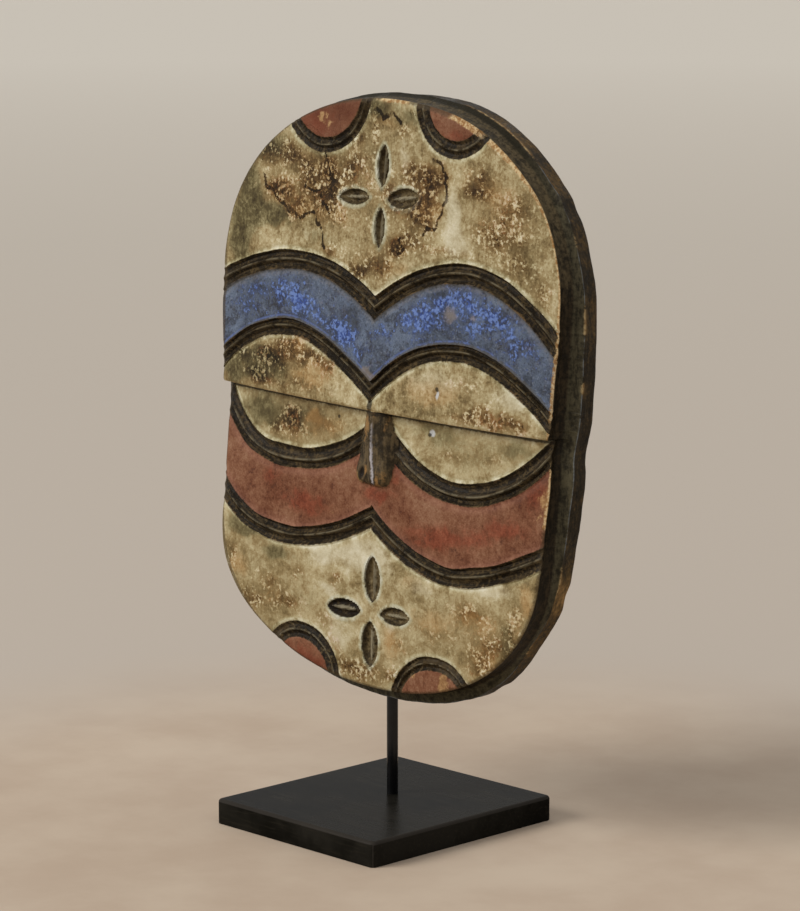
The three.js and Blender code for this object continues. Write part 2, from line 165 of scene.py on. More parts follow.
# Then the rim's flank: how far in from the rim, and millimetres behind its arris.
FLANK = ((0, 1.0), (0.2, 4), (0.3, 8), (0.1, 11), (0.9, 12.5), (2.4, 13))
RIM_CHIPS = (((145, 142), 9, 1.8), ((154, -113), 10, 2.2), ((102, -182), 9, 1.8), ((-120, 160), 12, 1.2),
             ((-8, 212), 62, 2.2))
# The hand-made waves around the side: size, step from ring to ring, scale and seed.
# They are full from one ring on, and the paint of the side starts at another.
RING_UNEVEN = {"radius": 170, "full_from": 2, "waves": ((0.5, 3, 15, 5), (0.2, 9, 5, 6))}
FIRST_PAINTED_RING = 2
# The back: its grid, its value of side, how far it starts inside the rim, and how
# it is hollowed and marked by an adze.
BACK_GRID = (60, 76)
BACK_SIDE = 20.0
BACK = {"inset": 7, "hollow": 1.6, "hollow_end": 4, "adze": 0.9, "adze_end": 8, "adze_scale": 30,
        "adze_across": 1.3, "adze_up": 0.6, "adze_middle": 0.3}
# The angles up to which edges are shaded smooth.
MASK_SMOOTH = math.radians(38)
STAND_SMOOTH = math.radians(30)

# The bevels of the base plate and the rod: width in millimetres and segments. Then
# where the plate's edges are worn and carry a painted highlight, how high an upright
# edge is at least, how straight up a level face looks, and how near counts as touching.
PLATE = {"corners": (4, 6), "top": (2.5, 6), "bottom": (0.6, 2), "strip": 0.4}
EDGE_WEAR_AND_HIGHLIGHT = {"down": 2.3, "in": 2.6, "corner": 1.6}
ROD_ENDS = (0.4, 3)
ROD_SIDES = 64
UPRIGHT = 5 * MM
LEVEL = 0.999
TOUCH = 0.1 * MM

# Small unevenness of the fields: size in millimetres and how wide it is. Then the
# rounded edges of a field beside a line, at the rim and above the step. The ledge's
# last two values say how far above the step its wear goes, and how far below it the
# painted shadow of the step goes.
FIELD_UNEVEN = ((0.55, 46), (0.26, 17), (0.12, 6))
FIELD_STRETCH = 0.7
FIELD_CHAMFER = {"reach": 4.5, "drop": 0.9}
RIM_ROUND = {"reach": 2.6, "drop": 1.0}
LEDGE = {"round": 1.4, "drop": 0.8, "over": 4, "under": 5}

# Paint and dirt, as one would dab them on the face: x, y, reach across and up, and
# strength. First the stains and the grey grime, which also darkens the blue and the
# red, then warm ochre places, and pale ones or, with a minus, dull ones.
STAINS = (
    (-121, 165, 20, 9, 0.7), (-95, 167, 11, 8, 0.8), (-78, 160, 10, 8, 0.7), (-55, 153, 8, 13, 0.75),
    (-47, 143, 9, 12, 0.75), (-28, 162, 16, 11, 0.8), (-28, 184, 9, 8, 0.8), (-21, 203, 12, 8, 0.8),
    (-58, 136, 12, 9, 0.7), (-90, 127, 14, 7, 0.9), (-108, 140, 14, 9, 0.8), (-72, 145, 15, 9, 0.7),
    (-49, 102, 7, 6, 0.8), (-17, 91, 10, 5, 0.9), (-40, 127, 9, 7, 0.7), (-8, 187, 7, 14, 0.5),
    (18, 111, 9, 7, 1.0), (14, 138, 8, 7, 0.8), (39, 131, 15, 6, 0.9), (28, 163, 12, 9, 0.8),
    (40, 143, 14, 10, 0.9), (48, 160, 12, 13, 0.8), (8, 149, 8, 6, 0.6), (30, 118, 14, 7, 0.7),
    (88, 154, 12, 6, 0.8), (92, 166, 12, 8, 0.7), (124, 147, 22, 14, 0.6), (110, 128, 24, 12, 0.6),
    (18, 190, 12, 8, 0.5), (130, 108, 18, 14, 0.5), (30, 203, 12, 5, 0.6), (3, 97, 12, 9, 0.8),
    (60, 112, 30, 6, 0.5), (150, 90, 12, 18, 0.5), (100, 186, 14, 8, 0.5), (-106, 22, 16, 7, 1.1),
    (-85, 33, 14, 8, 1.0), (-120, 5, 18, 7, 1.0), (-140, 20, 12, 9, 0.6), (-62, 26, 20, 7, 0.7),
    (-45, 20, 10, 10, 0.7), (-75, 4, 40, 4, 0.5), (110, 6, 24, 8, 0.9), (138, 2, 14, 6, 0.7),
    (84, 24, 26, 8, 0.5), (40, 8, 20, 6, 0.3), (90, 2, 50, 4, 0.5), (-84, -27, 11, 14, 0.8),
    (-91, -20, 10, 7, 0.8), (-104, -30, 10, 8, 0.6), (-50, -22, 14, 9, 0.5), (75, -26, 18, 6, 0.6),
    (112, -24, 14, 6, 0.5), (50, -34, 10, 5, 0.5), (-104, -140, 10, 9, 0.6), (-75, -130, 9, 5, 0.6),
    (-124, -158, 24, 10, 0.6), (-35, -130, 10, 6, 0.7), (-84, -155, 14, 8, 0.6), (-45, -160, 14, 9, 0.5),
    (-15, -192, 26, 8, 0.8), (28, -190, 14, 7, 0.8), (100, -131, 22, 8, 0.7), (121, -150, 20, 11, 0.6),
    (111, -166, 20, 9, 0.6), (142, -130, 10, 20, 0.6), (-146, -128, 8, 16, 0.7), (-36, -176, 10, 8, 0.5),
    (30, -165, 12, 7, 0.5), (92, -182, 16, 8, 0.6), (60, -150, 26, 8, 0.5), (-70, 146, 70, 30, 0.3),
    (10, 150, 60, 40, 0.3), (110, 130, 50, 30, 0.2), (-90, 22, 50, 18, 0.3), (-80, -24, 44, 18, 0.3),
    (110, -150, 40, 24, 0.3), (-90, -150, 50, 24, 0.25), (-20, 95, 30, 20, 0.35), (0, -185, 50, 12, 0.3),
    (140, 60, 20, 30, 0.2),
)
GRIME = (
    (-107, 122, 22, 9, 0.9), (-148, 106, 18, 26, 1.1), (-129, 123, 20, 12, 0.9), (-118, 170, 22, 12, 0.9),
    (-149, 9, 16, 16, 1.0), (-125, 14, 20, 12, 0.9), (-124, -20, 26, 14, 1.0), (131, -14, 20, 7, 0.7),
    (-132, -106, 26, 9, 1.1), (-98, -120, 20, 7, 0.9), (-70, -20, 36, 16, 0.8), (144, 100, 16, 20, 0.4),
    (120, 118, 30, 14, 0.3), (-108, 16, 34, 16, 0.8), (60, -12, 40, 8, 0.6), (-70, -150, 30, 12, 0.5),
    (20, 200, 16, 8, 0.8), (-10, 205, 16, 8, 0.9), (-60, 170, 30, 14, 0.6), (-60, 110, 24, 8, 0.5),
    (90, -26, 40, 12, 0.5), (80, 186, 30, 8, 0.5), (-140, 145, 14, 20, 0.8), (-10, 170, 20, 20, 0.4),
    (-62, 205, 40, 24, 1.1), (-76, -200, 40, 20, 1.0), (66, 205, 30, 20, 0.5), (134, -150, 14, 24, 0.7),
    (-106, 64, 40, 12, 0.7), (-20, 58, 12, 12, 0.8), (-41, 82, 16, 8, 0.7), (0, 45, 14, 8, 0.5),
    (-135, 52, 14, 8, 0.6),
)
OCHRE = (
    (22, -162, 12, 16, 1.0), (62, -143, 26, 9, 0.7), (105, -134, 24, 9, 0.8), (149, -115, 8, 16, 0.9),
    (-138, -134, 14, 12, 0.8), (40, -120, 20, 8, 0.5), (-60, 12, 30, 12, 0.8), (60, 16, 36, 12, 0.8),
    (-50, -22, 18, 10, 0.8), (-66, -19, 8, 10, 1.0), (-40, 126, 16, 10, 0.5), (110, 150, 26, 16, 0.5),
    (20, 96, 20, 8, 0.6), (-88, 128, 16, 8, 0.6), (45, 140, 22, 12, 0.6), (-76, 34, 10, 8, 0.9),
    (120, -160, 24, 16, 0.6), (-100, -150, 20, 12, 0.4),
)
PALE = (
    (69, 138, 10, 24, 1.0), (77, 118, 14, 10, 0.6), (-25, 108, 18, 10, 0.6), (-100, 148, 18, 6, 0.6),
    (-50, -114, 16, 8, 1.0), (-8, -108, 30, 14, 1.1), (20, 172, 6, 14, 0.7), (-75, 112, 24, 6, 0.6),
    (110, -112, 30, 8, 0.9), (50, -122, 16, 8, 0.6), (-18, -34, 10, 8, 0.8), (-40, 8, 14, 6, 0.6),
    (-84, 140, 56, 36, -0.6), (-140, 140, 24, 44, -0.4), (-10, 112, 26, 26, -0.5), (-96, 8, 50, 40, -0.7),
    (134, 20, 20, 10, 0.8), (20, -60, 26, 14, -0.4), (-36, -160, 16, 10, 0.6), (-42, -138, 14, 6, 0.8),
    (-30, -174, 12, 8, 0.6), (22, -150, 10, 12, 0.7), (60, 24, 40, 14, 0.5), (110, 150, 40, 30, -0.4),
)
# The dark cracked edges of the old water marks, and the brown wash inside them.
TIDE_MARKS = (
    ((-126, 149), (-123, 142), (-114, 139), (-106, 132), (-99, 129), (-92, 127), (-86, 124), (-81, 122),
     (-76, 126), (-70, 127), (-65, 121), (-60, 119), (-57, 110), (-54, 102)),
    ((-90, 180), (-82, 186), (-70, 184), (-62, 178), (-58, 166), (-52, 158), (-48, 150)),
    ((47, 173), (56, 170), (60, 163), (62, 155), (62, 147), (58, 137), (54, 128), (47, 126), (42, 122)),
    ((-78, 146), (-70, 142), (-63, 143), (-57, 134), (-52, 128)),
    ((20, 116), (24, 111), (20, 106)),
    ((-10, 205), (-2, 198), (6, 203), (14, 196)),
)
WASHES = (
    (-104, 140, 16, 10, 0.9), (-80, 132, 12, 8, 0.8), (-60, 126, 8, 10, 0.6), (-54, 160, 12, 14, 0.6),
    (48, 160, 14, 14, 1.0), (46, 138, 14, 10, 1.0), (16, 112, 10, 10, 0.8), (-72, 170, 16, 12, 0.6),
    (24, 140, 16, 10, 0.6), (2, 196, 18, 8, 0.6), (96, 158, 24, 14, 0.6),
)
TIDE_REACH = 14
TIDE_EDGE = {"size": 3.0, "scale": 8}
FOREHEAD_FROM = 90
# The bright blue that is left, the places worn to the wood, and the redder red with
# the painted shadow of the nose.
PIGMENT = (
    (-94, 74, 18, 9, 1.0), (-82, 64, 16, 9, 1.0), (-126, 66, 18, 7, 0.9), (-67, 62, 16, 9, 1.1),
    (-30, 50, 14, 9, 1.1), (-27, 42, 12, 8, 1.0), (-13, 35, 10, 6, 0.8), (49, 65, 18, 8, 1.2),
    (58, 75, 18, 8, 1.1), (82, 80, 18, 9, 1.1), (92, 61, 16, 7, 1.0), (39, 60, 16, 8, 1.1),
    (106, 74, 20, 10, 1.1), (125, 64, 18, 8, 0.9), (144, 53, 16, 7, 0.7), (10, 52, 12, 7, 0.8),
    (-140, 55, 16, 9, 0.8), (75, 90, 16, 4, 0.7), (120, 46, 20, 6, 0.6), (-52, 52, 14, 6, 0.8),
)
BARE = (
    (72, 71, 9, 6, 1.0), (93, 71, 6, 5, 0.9), (-55, 66, 10, 4, 0.7), (142, 56, 8, 5, 0.6),
    (-2, 20, 8, 7, 1.5), (-20, 60, 10, 4, 0.4), (76, -184, 6, 7, 1.2), (43, -181, 3, 3, 0.9),
    (84, 203, 18, 3, 0.9), (-65, 195, 9, 4, 0.8), (-57, 190, 5, 4, 0.6), (156, -50, 5, 16, 0.7),
    (-40, -82, 3, 2, 0.7),
)
# The last two dabs, beside and under the nose, paint the nose's shadow on the red.
REDDER_AND_SHADOW = (
    (-71, -80, 30, 10, 1.1), (-110, -66, 14, 8, 0.7), (60, -86, 26, 9, 1.1), (127, -70, 26, 9, 1.0),
    (0, -66, 14, 8, 0.7), (-73, -200, 30, 20, 1.5), (150, -40, 10, 14, 0.9), (66, 190, 20, 5, 0.8),
    (96, -80, 24, 8, 0.8), (-70, 192, 24, 14, 0.9), (24, -44, 6, 16, 0.8), (8, -61, 14, 4, 0.8),
)
# Where the edge of the face is worn to the wood, and the same along the rim. Then
# the ochre places of the flank, and on the nose the golden places, the painted shade
# and the places of its painted highlight.
WORN_EDGE = (
    (75, 196, 26, 12, 1.0), (112, 170, 26, 20, 1.2), (142, 135, 20, 26, 1.2), (160, 95, 16, 30, 1.2),
    (166, 50, 14, 30, 1.1), (164, 10, 14, 18, 0.7), (161, -30, 12, 14, 0.9), (160, -55, 12, 14, 0.9),
    (150, -100, 14, 14, 0.4), (4, 211, 14, 6, 1.4),
)
WORN_RIM = (
    (110, 180, 24, 16, 0.9), (150, 127, 14, 14, 1.1), (172, 77, 14, 10, 1.2), (174, 32, 12, 5, 1.0),
    (60, 205, 20, 8, 0.9), (88, 194, 20, 10, 0.9), (160, -100, 16, 22, 0.9), (130, -150, 14, 14, 0.7),
    (20, -205, 30, 8, 0.4),
)
FLANK_OCHRE = (
    (152, -110, 30, 26, 1.4), (126, -152, 24, 18, 1.0), (133, 158, 16, 20, 0.8), (172, 77, 14, 16, 0.5),
    (156, 125, 18, 20, 0.5), (90, 190, 40, 14, 0.9), (60, -200, 30, 12, 0.5), (-100, -180, 40, 20, 0.6),
    (-160, 60, 20, 40, 0.6), (-130, 150, 30, 24, 0.7),
)
NOSE_GOLD = (
    (-6, -14, 6, 14, 1.0), (-12, -50, 2.6, 7, 0.8), (-2.6, -46, 1.8, 7, 0.9), (-8, -54, 6, 2.4, 0.8),
    (9.4, -51, 1.8, 4, 1.3), (6.5, -55, 3.6, 1.4, 1.5), (5, -4, 3, 4, 0.7), (13, -14, 2, 12, 0.6),
    (14, -49, 4, 6, 0.5),
)
# Painted shade on the nose: in the dimple, on its flanks, at the tip and under the wing.
NOSE_SHADE = (
    (-5.8, -47.8, 2.2, 5, 1.3), (-12, -34, 7, 9, 0.7), (4.2, -54.4, 3, 1.2, 1.3), (16, -30, 5, 16, 0.5),
    (-9, -56, 8, 1, 0.8),
)
NOSE_SHINE = (
    (3, -16, 9, 10, 0.45), (3.5, -37, 9, 12, 1.0), (5, -50, 9, 5, 1.1),
)
WORN_REACH = 12
NOSE_RAGGED = 0.3
# How a dab fades, where it is cut off and how strong they get together. The edges
# are pushed about by wide and narrow waves, each a size and a scale.
DAB = {"fall": 1.2, "cut": 2, "most": 1.5, "wide_edge": (5, 14), "narrow_edge": (2, 5)}


def lerp(a, b, part):
    return a + (b - a) * part


def half_width(y):
    if y > TOP_CENTRE:
        rise = min(1, (y - TOP_CENTRE) / TOP_RISE)
        return TOP_HALF_WIDTH * math.sqrt(1 - rise * rise)
    if y < CHIN_CENTRE:
        drop = min(1, (CHIN_CENTRE - y) / CHIN_RISE)
        return CHIN_HALF_WIDTH * (1 - drop ** CHIN_ROUNDNESS) ** (1 / CHIN_ROUNDNESS)
    return lerp(CHIN_HALF_WIDTH, TOP_HALF_WIDTH, (y - CHIN_CENTRE) / (TOP_CENTRE - CHIN_CENTRE))


def top_arc(x):
    return TOP_CENTRE + TOP_RISE * math.sqrt(1 - (x / TOP_HALF_WIDTH) ** 2)


def chin_arc(x):
    part = (abs(x) / CHIN_HALF_WIDTH) ** CHIN_ROUNDNESS
    return CHIN_CENTRE - CHIN_RISE * (1 - part) ** (1 / CHIN_ROUNDNESS)


def face_depth(x, y, below):
    """Depth of the plain face, before any carving."""
    across = min(1, (x / TOP_HALF_WIDTH) ** 2)
    if not below:
        middle = UPPER["middle"] + UPPER["middle_slope"] * y
        return lerp(middle, UPPER["edge"] + UPPER["edge_slope"] * y, across)
    down = STEP_Y - y
    middle_part = max(0, 1 - down / LOWER["middle_length"])
    middle = LOWER["middle"] * middle_part ** LOWER["middle_power"]
    edge_part = max(0, 1 - down / LOWER["edge_length"]) ** LOWER["edge_power"]
    return lerp(middle, lerp(LOWER["chin_edge"], LOWER["edge"], edge_part), across)


def back_depth(y):
    return BACK_DEPTH + BACK_SLOPE * y


def ease(value, start, end):
    part = min(1, max(0, (value - start) / (end - start)))
    return part * part * (3 - 2 * part)


def rim_stand(y):
    """How far the rim stands out beyond the face's outline."""
    away = min(1, abs(y - RIM["side_at"]) / RIM["side_reach"])
    side = RIM["side"] * math.cos(away * math.pi / 2)
    top = RIM["top"] * ease(y, RIM["top_from"], RIM["top_full"])
    return side + top + RIM["chin"] * ease(-y, RIM["chin_from"], RIM["chin_full"])


def outward(x, y):
    """The outward direction of the outline at a point on it."""
    if y > TOP_CENTRE:
        way = Vector((x / TOP_HALF_WIDTH ** 2, (y - TOP_CENTRE) / TOP_RISE ** 2))
    elif y < CHIN_CENTRE:
        power = CHIN_ROUNDNESS - 1
        across = (abs(x) / CHIN_HALF_WIDTH) ** power / CHIN_HALF_WIDTH
        down = ((CHIN_CENTRE - y) / CHIN_RISE) ** power / CHIN_RISE
        way = Vector((math.copysign(across, x), -down))
    else:
        slope = (TOP_HALF_WIDTH - CHIN_HALF_WIDTH) / (TOP_CENTRE - CHIN_CENTRE)
        way = Vector((math.copysign(1, x), -slope))
    return way.normalized()


def inside_by(x, y):
    """Rough distance from a point on the face to the outline."""
    if TOP_CENTRE >= y >= CHIN_CENTRE:
        return max(0, half_width(y) - abs(x))
    if y > TOP_CENTRE:
        size, power, up = (TOP_HALF_WIDTH, TOP_RISE), 2, (y - TOP_CENTRE) / TOP_RISE
    else:
        size, power, up = (CHIN_HALF_WIDTH, CHIN_RISE), CHIN_ROUNDNESS, (CHIN_CENTRE - y) / CHIN_RISE
    across = abs(x) / size[0]
    value = (across ** power + up ** power) ** (1 / power)
    steep = math.hypot(across / size[0], up / size[1])
    return max(0, (1 - value) / steep * math.hypot(across, up))


def bulge(x, y):
    """A point moved with the hand-made unevenness of the outline."""
    for (at_x, at_y), reach, amount in BULGES:
        near = math.exp(-((x - at_x) ** 2 + (y - at_y) ** 2) / reach ** 2)
        way = outward(at_x, at_y)
        x += way.x * amount * near
        y += way.y * amount * near
    return x, y


def wander(x, y, scale, seed=0.0):
    """Smooth hand-made unevenness between about -1 and 1."""
    return noise.noise(Vector((x / scale, y / scale, seed)))


def line_at(name, x):
    """The height of a black line's middle at x, its half width upright and its slope."""
    crest, inner, outer, inner_power, outer_power = LINES[name][0 if x < 0 else 1]
    inward = abs(x) < abs(crest[0])
    end = inner if inward else outer
    power = inner_power if inward else outer_power
    reach = end[0] - crest[0]
    rise = end[1] - crest[1]
    part = abs((x - crest[0]) / reach)
    slope = power * rise / reach * part ** (power - 1)
    seed = list(LINES).index(name) * LINE_WOBBLE["seed_step"]
    middle = crest[1] + rise * part ** power
    middle += LINE_WOBBLE["middle"] * wander(x, seed, LINE_WOBBLE["middle_scale"], SEED["line"])
    half = LINES[name][2] * math.sqrt(1 + slope * slope)
    half *= 1 + LINE_WOBBLE["width"] * wander(x, seed, LINE_WOBBLE["width_scale"], SEED["line_width"])
    return middle, half, slope


def line_edge(name, x, place):
    middle, half = line_at(name, x)[:2]
    y = middle + (place + CREST_AT[name] * (1 - abs(place))) * half
    if name == "eye":
        return min(y, STEP_Y - STEP_RUN - EYE_ROOM + place)
    return y


def groove_cut(place):
    """Depth of a line's two rounded grooves, with a thin crest between them."""
    p = abs(place)
    if p >= 1:
        return 0
    if p < GROOVE["crest_half"]:
        return -GROOVE["crest"]
    if p > GROOVE["middle"]:
        off = (p - GROOVE["middle"]) / (1 - GROOVE["middle"])
        return GROOVE["depth"] * (1 - off ** GROOVE["wall"])
    off = (GROOVE["middle"] - p) / (GROOVE["middle"] - GROOVE["crest_half"])
    return GROOVE["depth"] - (GROOVE["depth"] + GROOVE["crest"]) * off ** GROOVE["round"]


def column_parts():
    """Where the grid's columns lie, from -1 at the left edge to 1 at the right one."""
    parts = [k / SIDE_COLUMNS * (1 - MIDDLE_PART) - 1 for k in range(SIDE_COLUMNS)]
    parts += [(2 * k / MIDDLE_COLUMNS - 1) * MIDDLE_PART for k in range(MIDDLE_COLUMNS + 1)]
    parts += [MIDDLE_PART + k / SIDE_COLUMNS * (1 - MIDDLE_PART) for k in range(1, SIDE_COLUMNS + 1)]
    return parts


PARTS = column_parts()


def row_of(spots, below, field, line=None, place=OFF_LINE, across=0):
    """One row of the face's grid: its points, whether it lies below the step, its
    field, the line it belongs to, its place across that line, and how far down the
    field it lies."""
    return {"spots": spots, "below": below, "field": field, "line": line, "place": place, "across": across}


def row_from_curve(curve, below, field=WHITE, line=None, place=OFF_LINE):
    ends = []
    for side in (-1, 1):
        x = side * CHIN_HALF_WIDTH
        for _ in range(SETTLE_TRIES):
            x = side * half_width(curve(x))
        ends.append(x)
    spots = []
    for part in PARTS:
        x = abs(part) * ends[0 if part < 0 else 1]
        spots.append((x, curve(x)))
    return row_of(spots, below, field, line, place)


def line_rows(name, below, over, under):
    """The rows of one black line. The field's colour changes at its middle."""
    rows = []
    for place in LINE_PLACES:
        field = over if place > 0 else under
        rows.append(row_from_curve(lambda x: line_edge(name, x, place), below, field, name, place))
    return rows


def rows_between(upper, lower, name, below, field):
    rows = []
    for k in range(1, FIELD_ROWS[name]):
        part = k / FIELD_ROWS[name]
        ends = [lerp(upper["spots"][j][1], lower["spots"][j][1], part) for j in (0, -1)]
        spots = []
        for u, above, beneath in zip(PARTS, upper["spots"], lower["spots"]):
            x = u * half_width(ends[0 if u < 0 else 1])
            spots.append((x, lerp(above[1], beneath[1], part)))
        rows.append(row_of(spots, below, field, across=part))
    return rows


def arc_row(arc, half, below):
    reach = CORNER * half
    return row_of([(u * reach, arc(u * reach)) for u in PARTS], below, WHITE)


def face_rows():
    """All rows from the top of the forehead to the chin."""
    top = arc_row(top_arc, TOP_HALF_WIDTH, False)
    brow = line_rows("brow", False, WHITE, BLUE)
    lid = line_rows("lid", False, BLUE, WHITE)
    ledge = row_from_curve(lambda x: STEP_Y, False)
    foot = row_from_curve(lambda x: STEP_Y - STEP_RUN, True)
    eye = line_rows("eye", True, WHITE, RED)
    cheek = line_rows("cheek", True, RED, WHITE)
    chin = arc_row(chin_arc, CHIN_HALF_WIDTH, True)
    rows = [top] + rows_between(top, brow[0], "forehead", False, WHITE) + brow
    rows += rows_between(brow[-1], lid[0], "brow", False, BLUE) + lid
    rows += rows_between(lid[-1], ledge, "upper_eye", False, WHITE) + [ledge, foot]
    rows += rows_between(foot, eye[0], "lower_eye", True, WHITE) + eye
    rows += rows_between(eye[-1], cheek[0], "cheek", True, RED) + cheek
    return rows + rows_between(cheek[-1], chin, "chin", True, WHITE) + [chin]


def nearest_line(x, y, below):
    nearest = FAR
    for name in ("eye", "cheek") if below else ("brow", "lid"):
        middle, half, slope = line_at(name, x)
        nearest = min(nearest, (abs(y - middle) - half) / math.sqrt(1 + slope * slope))
    return nearest


def petal_at(x, y):
    """Distance outside the nearest petal, how deep its cut is here, how close the
    point is to its ridge, and whether it is the blackened petal."""
    best, cut, on_ridge, dark = FAR, 0, 0, 0
    for number, ((at_x, at_y), long, wide, turn) in enumerate(PETALS):
        if abs(x - at_x) > PETAL["near"] or abs(y - at_y) > PETAL["near"]:
            continue
        angle = math.radians(turn)
        s = (x - at_x) * math.cos(angle) + (y - at_y) * math.sin(angle)
        v = (y - at_y) * math.cos(angle) - (x - at_x) * math.sin(angle)
        along = abs(s) / long
        if along >= 1:
            best = min(best, math.hypot(abs(s) - long, v))
            continue
        full = 1 - along * along
        half = wide * full ** PETAL["taper"]
        best = min(best, abs(v) - half)
        if abs(v) < half:
            across = abs(v) / half
            bowl = min(1, (1 - across) / PETAL["wall"])
            on_ridge = full * max(0, 1 - across / PETAL["ridge_half"])
            deep = math.sin(bowl * math.pi / 2) - PETAL["ridge"] * on_ridge
            cut = PETAL["depth"] * full ** PETAL["rise"] * deep
            dark = 1.0 if number == DARK_PETAL else 0.0
    return best, cut, on_ridge, dark


def roundel_at(x, y):
    """Distance outside the ring, the place across it and whether inside its disc."""
    best, place, inside = FAR, OFF_LINE, 0.0
    for (at_x, at_y), ring, half in ROUNDELS:
        off = math.hypot(x - at_x, y - at_y) - ring
        off += ROUNDEL_WOBBLE["size"] * wander(x, y, ROUNDEL_WOBBLE["scale"], at_x)
        best = min(best, abs(off) - half)
        if abs(off) < 2 * half:
            place = off / half
        if off < 0:
            inside = 1.0
    return best, place, inside


def dome(x, y, centre, squeeze, radius):
    """1 at the centre of a small rounded form and 0 from its edge on."""
    away = math.hypot(x - centre[0], (y - centre[1]) * squeeze) / radius
    return math.cos(away * math.pi / 2) if away < 1 else 0


def nose_at(x, y):
    """The depth of the nose's surface or None, and how far across its flank this is."""
    if y > NOSE[0][0] or y < NOSE[-1][0]:
        return None, 0
    for upper, lower in zip(NOSE, NOSE[1:]):
        if y >= lower[0]:
            part = (upper[0] - y) / (upper[0] - lower[0])
            left, right, ridge, front = (lerp(a, b, part) for a, b in zip(upper[1:], lower[1:]))
            break
    foot = left if x < ridge else right
    across = (x - ridge) / (foot - ridge)
    root = face_depth(x, y, True) + NOSE_SUNK
    steady, steep, power = NOSE_LEFT if x < ridge else NOSE_RIGHT
    depth = front + (root - front) * (steady * across + steep * across ** power)
    for centre, radius, height in NOSE_WINGS:
        depth -= height * dome(x, y, centre, SQUEEZE["wing"], radius)
    centre, radius, dip = WING_DIMPLE
    depth += dip * dome(x, y, centre, SQUEEZE["dimple"], radius)
    return (depth, across if x > ridge else -across) if across < NOSE_REACH else (None, 0)


def ragged(x, y, seed):
    """Millimetres by which the edge of a dab is pushed about here."""
    wide, narrow = DAB["wide_edge"], DAB["narrow_edge"]
    return wide[0] * wander(x, y, wide[1], seed) + narrow[0] * wander(x, y, narrow[1], seed + 1)


def dabs(x, y, spots, raggedness=1.0):
    """How strongly soft dabs of paint or dirt cover a point, with ragged reach."""
    total = 0
    ragged_x = x + raggedness * ragged(x, y, SEED["dab_across"])
    ragged_y = y + raggedness * ragged(x, y, SEED["dab_up"])
    for at_x, at_y, across, up, strength in spots:
        far_x = abs(ragged_x - at_x) / across
        far_y = abs(ragged_y - at_y) / up
        if far_x < DAB["cut"] and far_y < DAB["cut"]:
            total += strength * math.exp(-DAB["fall"] * (far_x * far_x + far_y * far_y))
    return min(DAB["most"], total)


def tide_at(x, y):
    """How far a point is from the nearest of the dark water marks."""
    near = TIDE_REACH
    x += TIDE_EDGE["size"] * wander(x, y, TIDE_EDGE["scale"], SEED["tide_across"])
    y += TIDE_EDGE["size"] * wander(x, y, TIDE_EDGE["scale"], SEED["tide_up"])
    spot = Vector((x, y))
    for mark in TIDE_MARKS:
        for start, end in zip(mark, mark[1:]):
            if abs(x - start[0]) > 2 * TIDE_REACH or abs(y - start[1]) > 2 * TIDE_REACH:
                continue
            a, b = Vector(start), Vector(end)
            along = min(1, max(0, (spot - a).dot(b - a) / (b - a).length_squared))
            near = min(near, (spot - a.lerp(b, along)).length)
    return near


FIELD_DABS = {"stain_and_shade": STAINS, "grime": GRIME, "ochre": OCHRE, "pale_and_highlight": PALE}
NOSE_DABS = {"stain_and_shade": NOSE_SHADE, "ochre": NOSE_GOLD, "pale_and_highlight": NOSE_SHINE}
ATTRIBUTES = ("line_mm", "line_place", "ring_mm", "ring_place", "petal_mm", "petal_ridge", "petal_dark",
              "blue", "red", "across", "nose", "nose_place", "rim_mm", "side", "stain_and_shade", "grime", "ochre",
              "pale_and_highlight", "tide_mm", "wash", "pigment", "bare", "redder_and_shadow", "ledge", "arris")


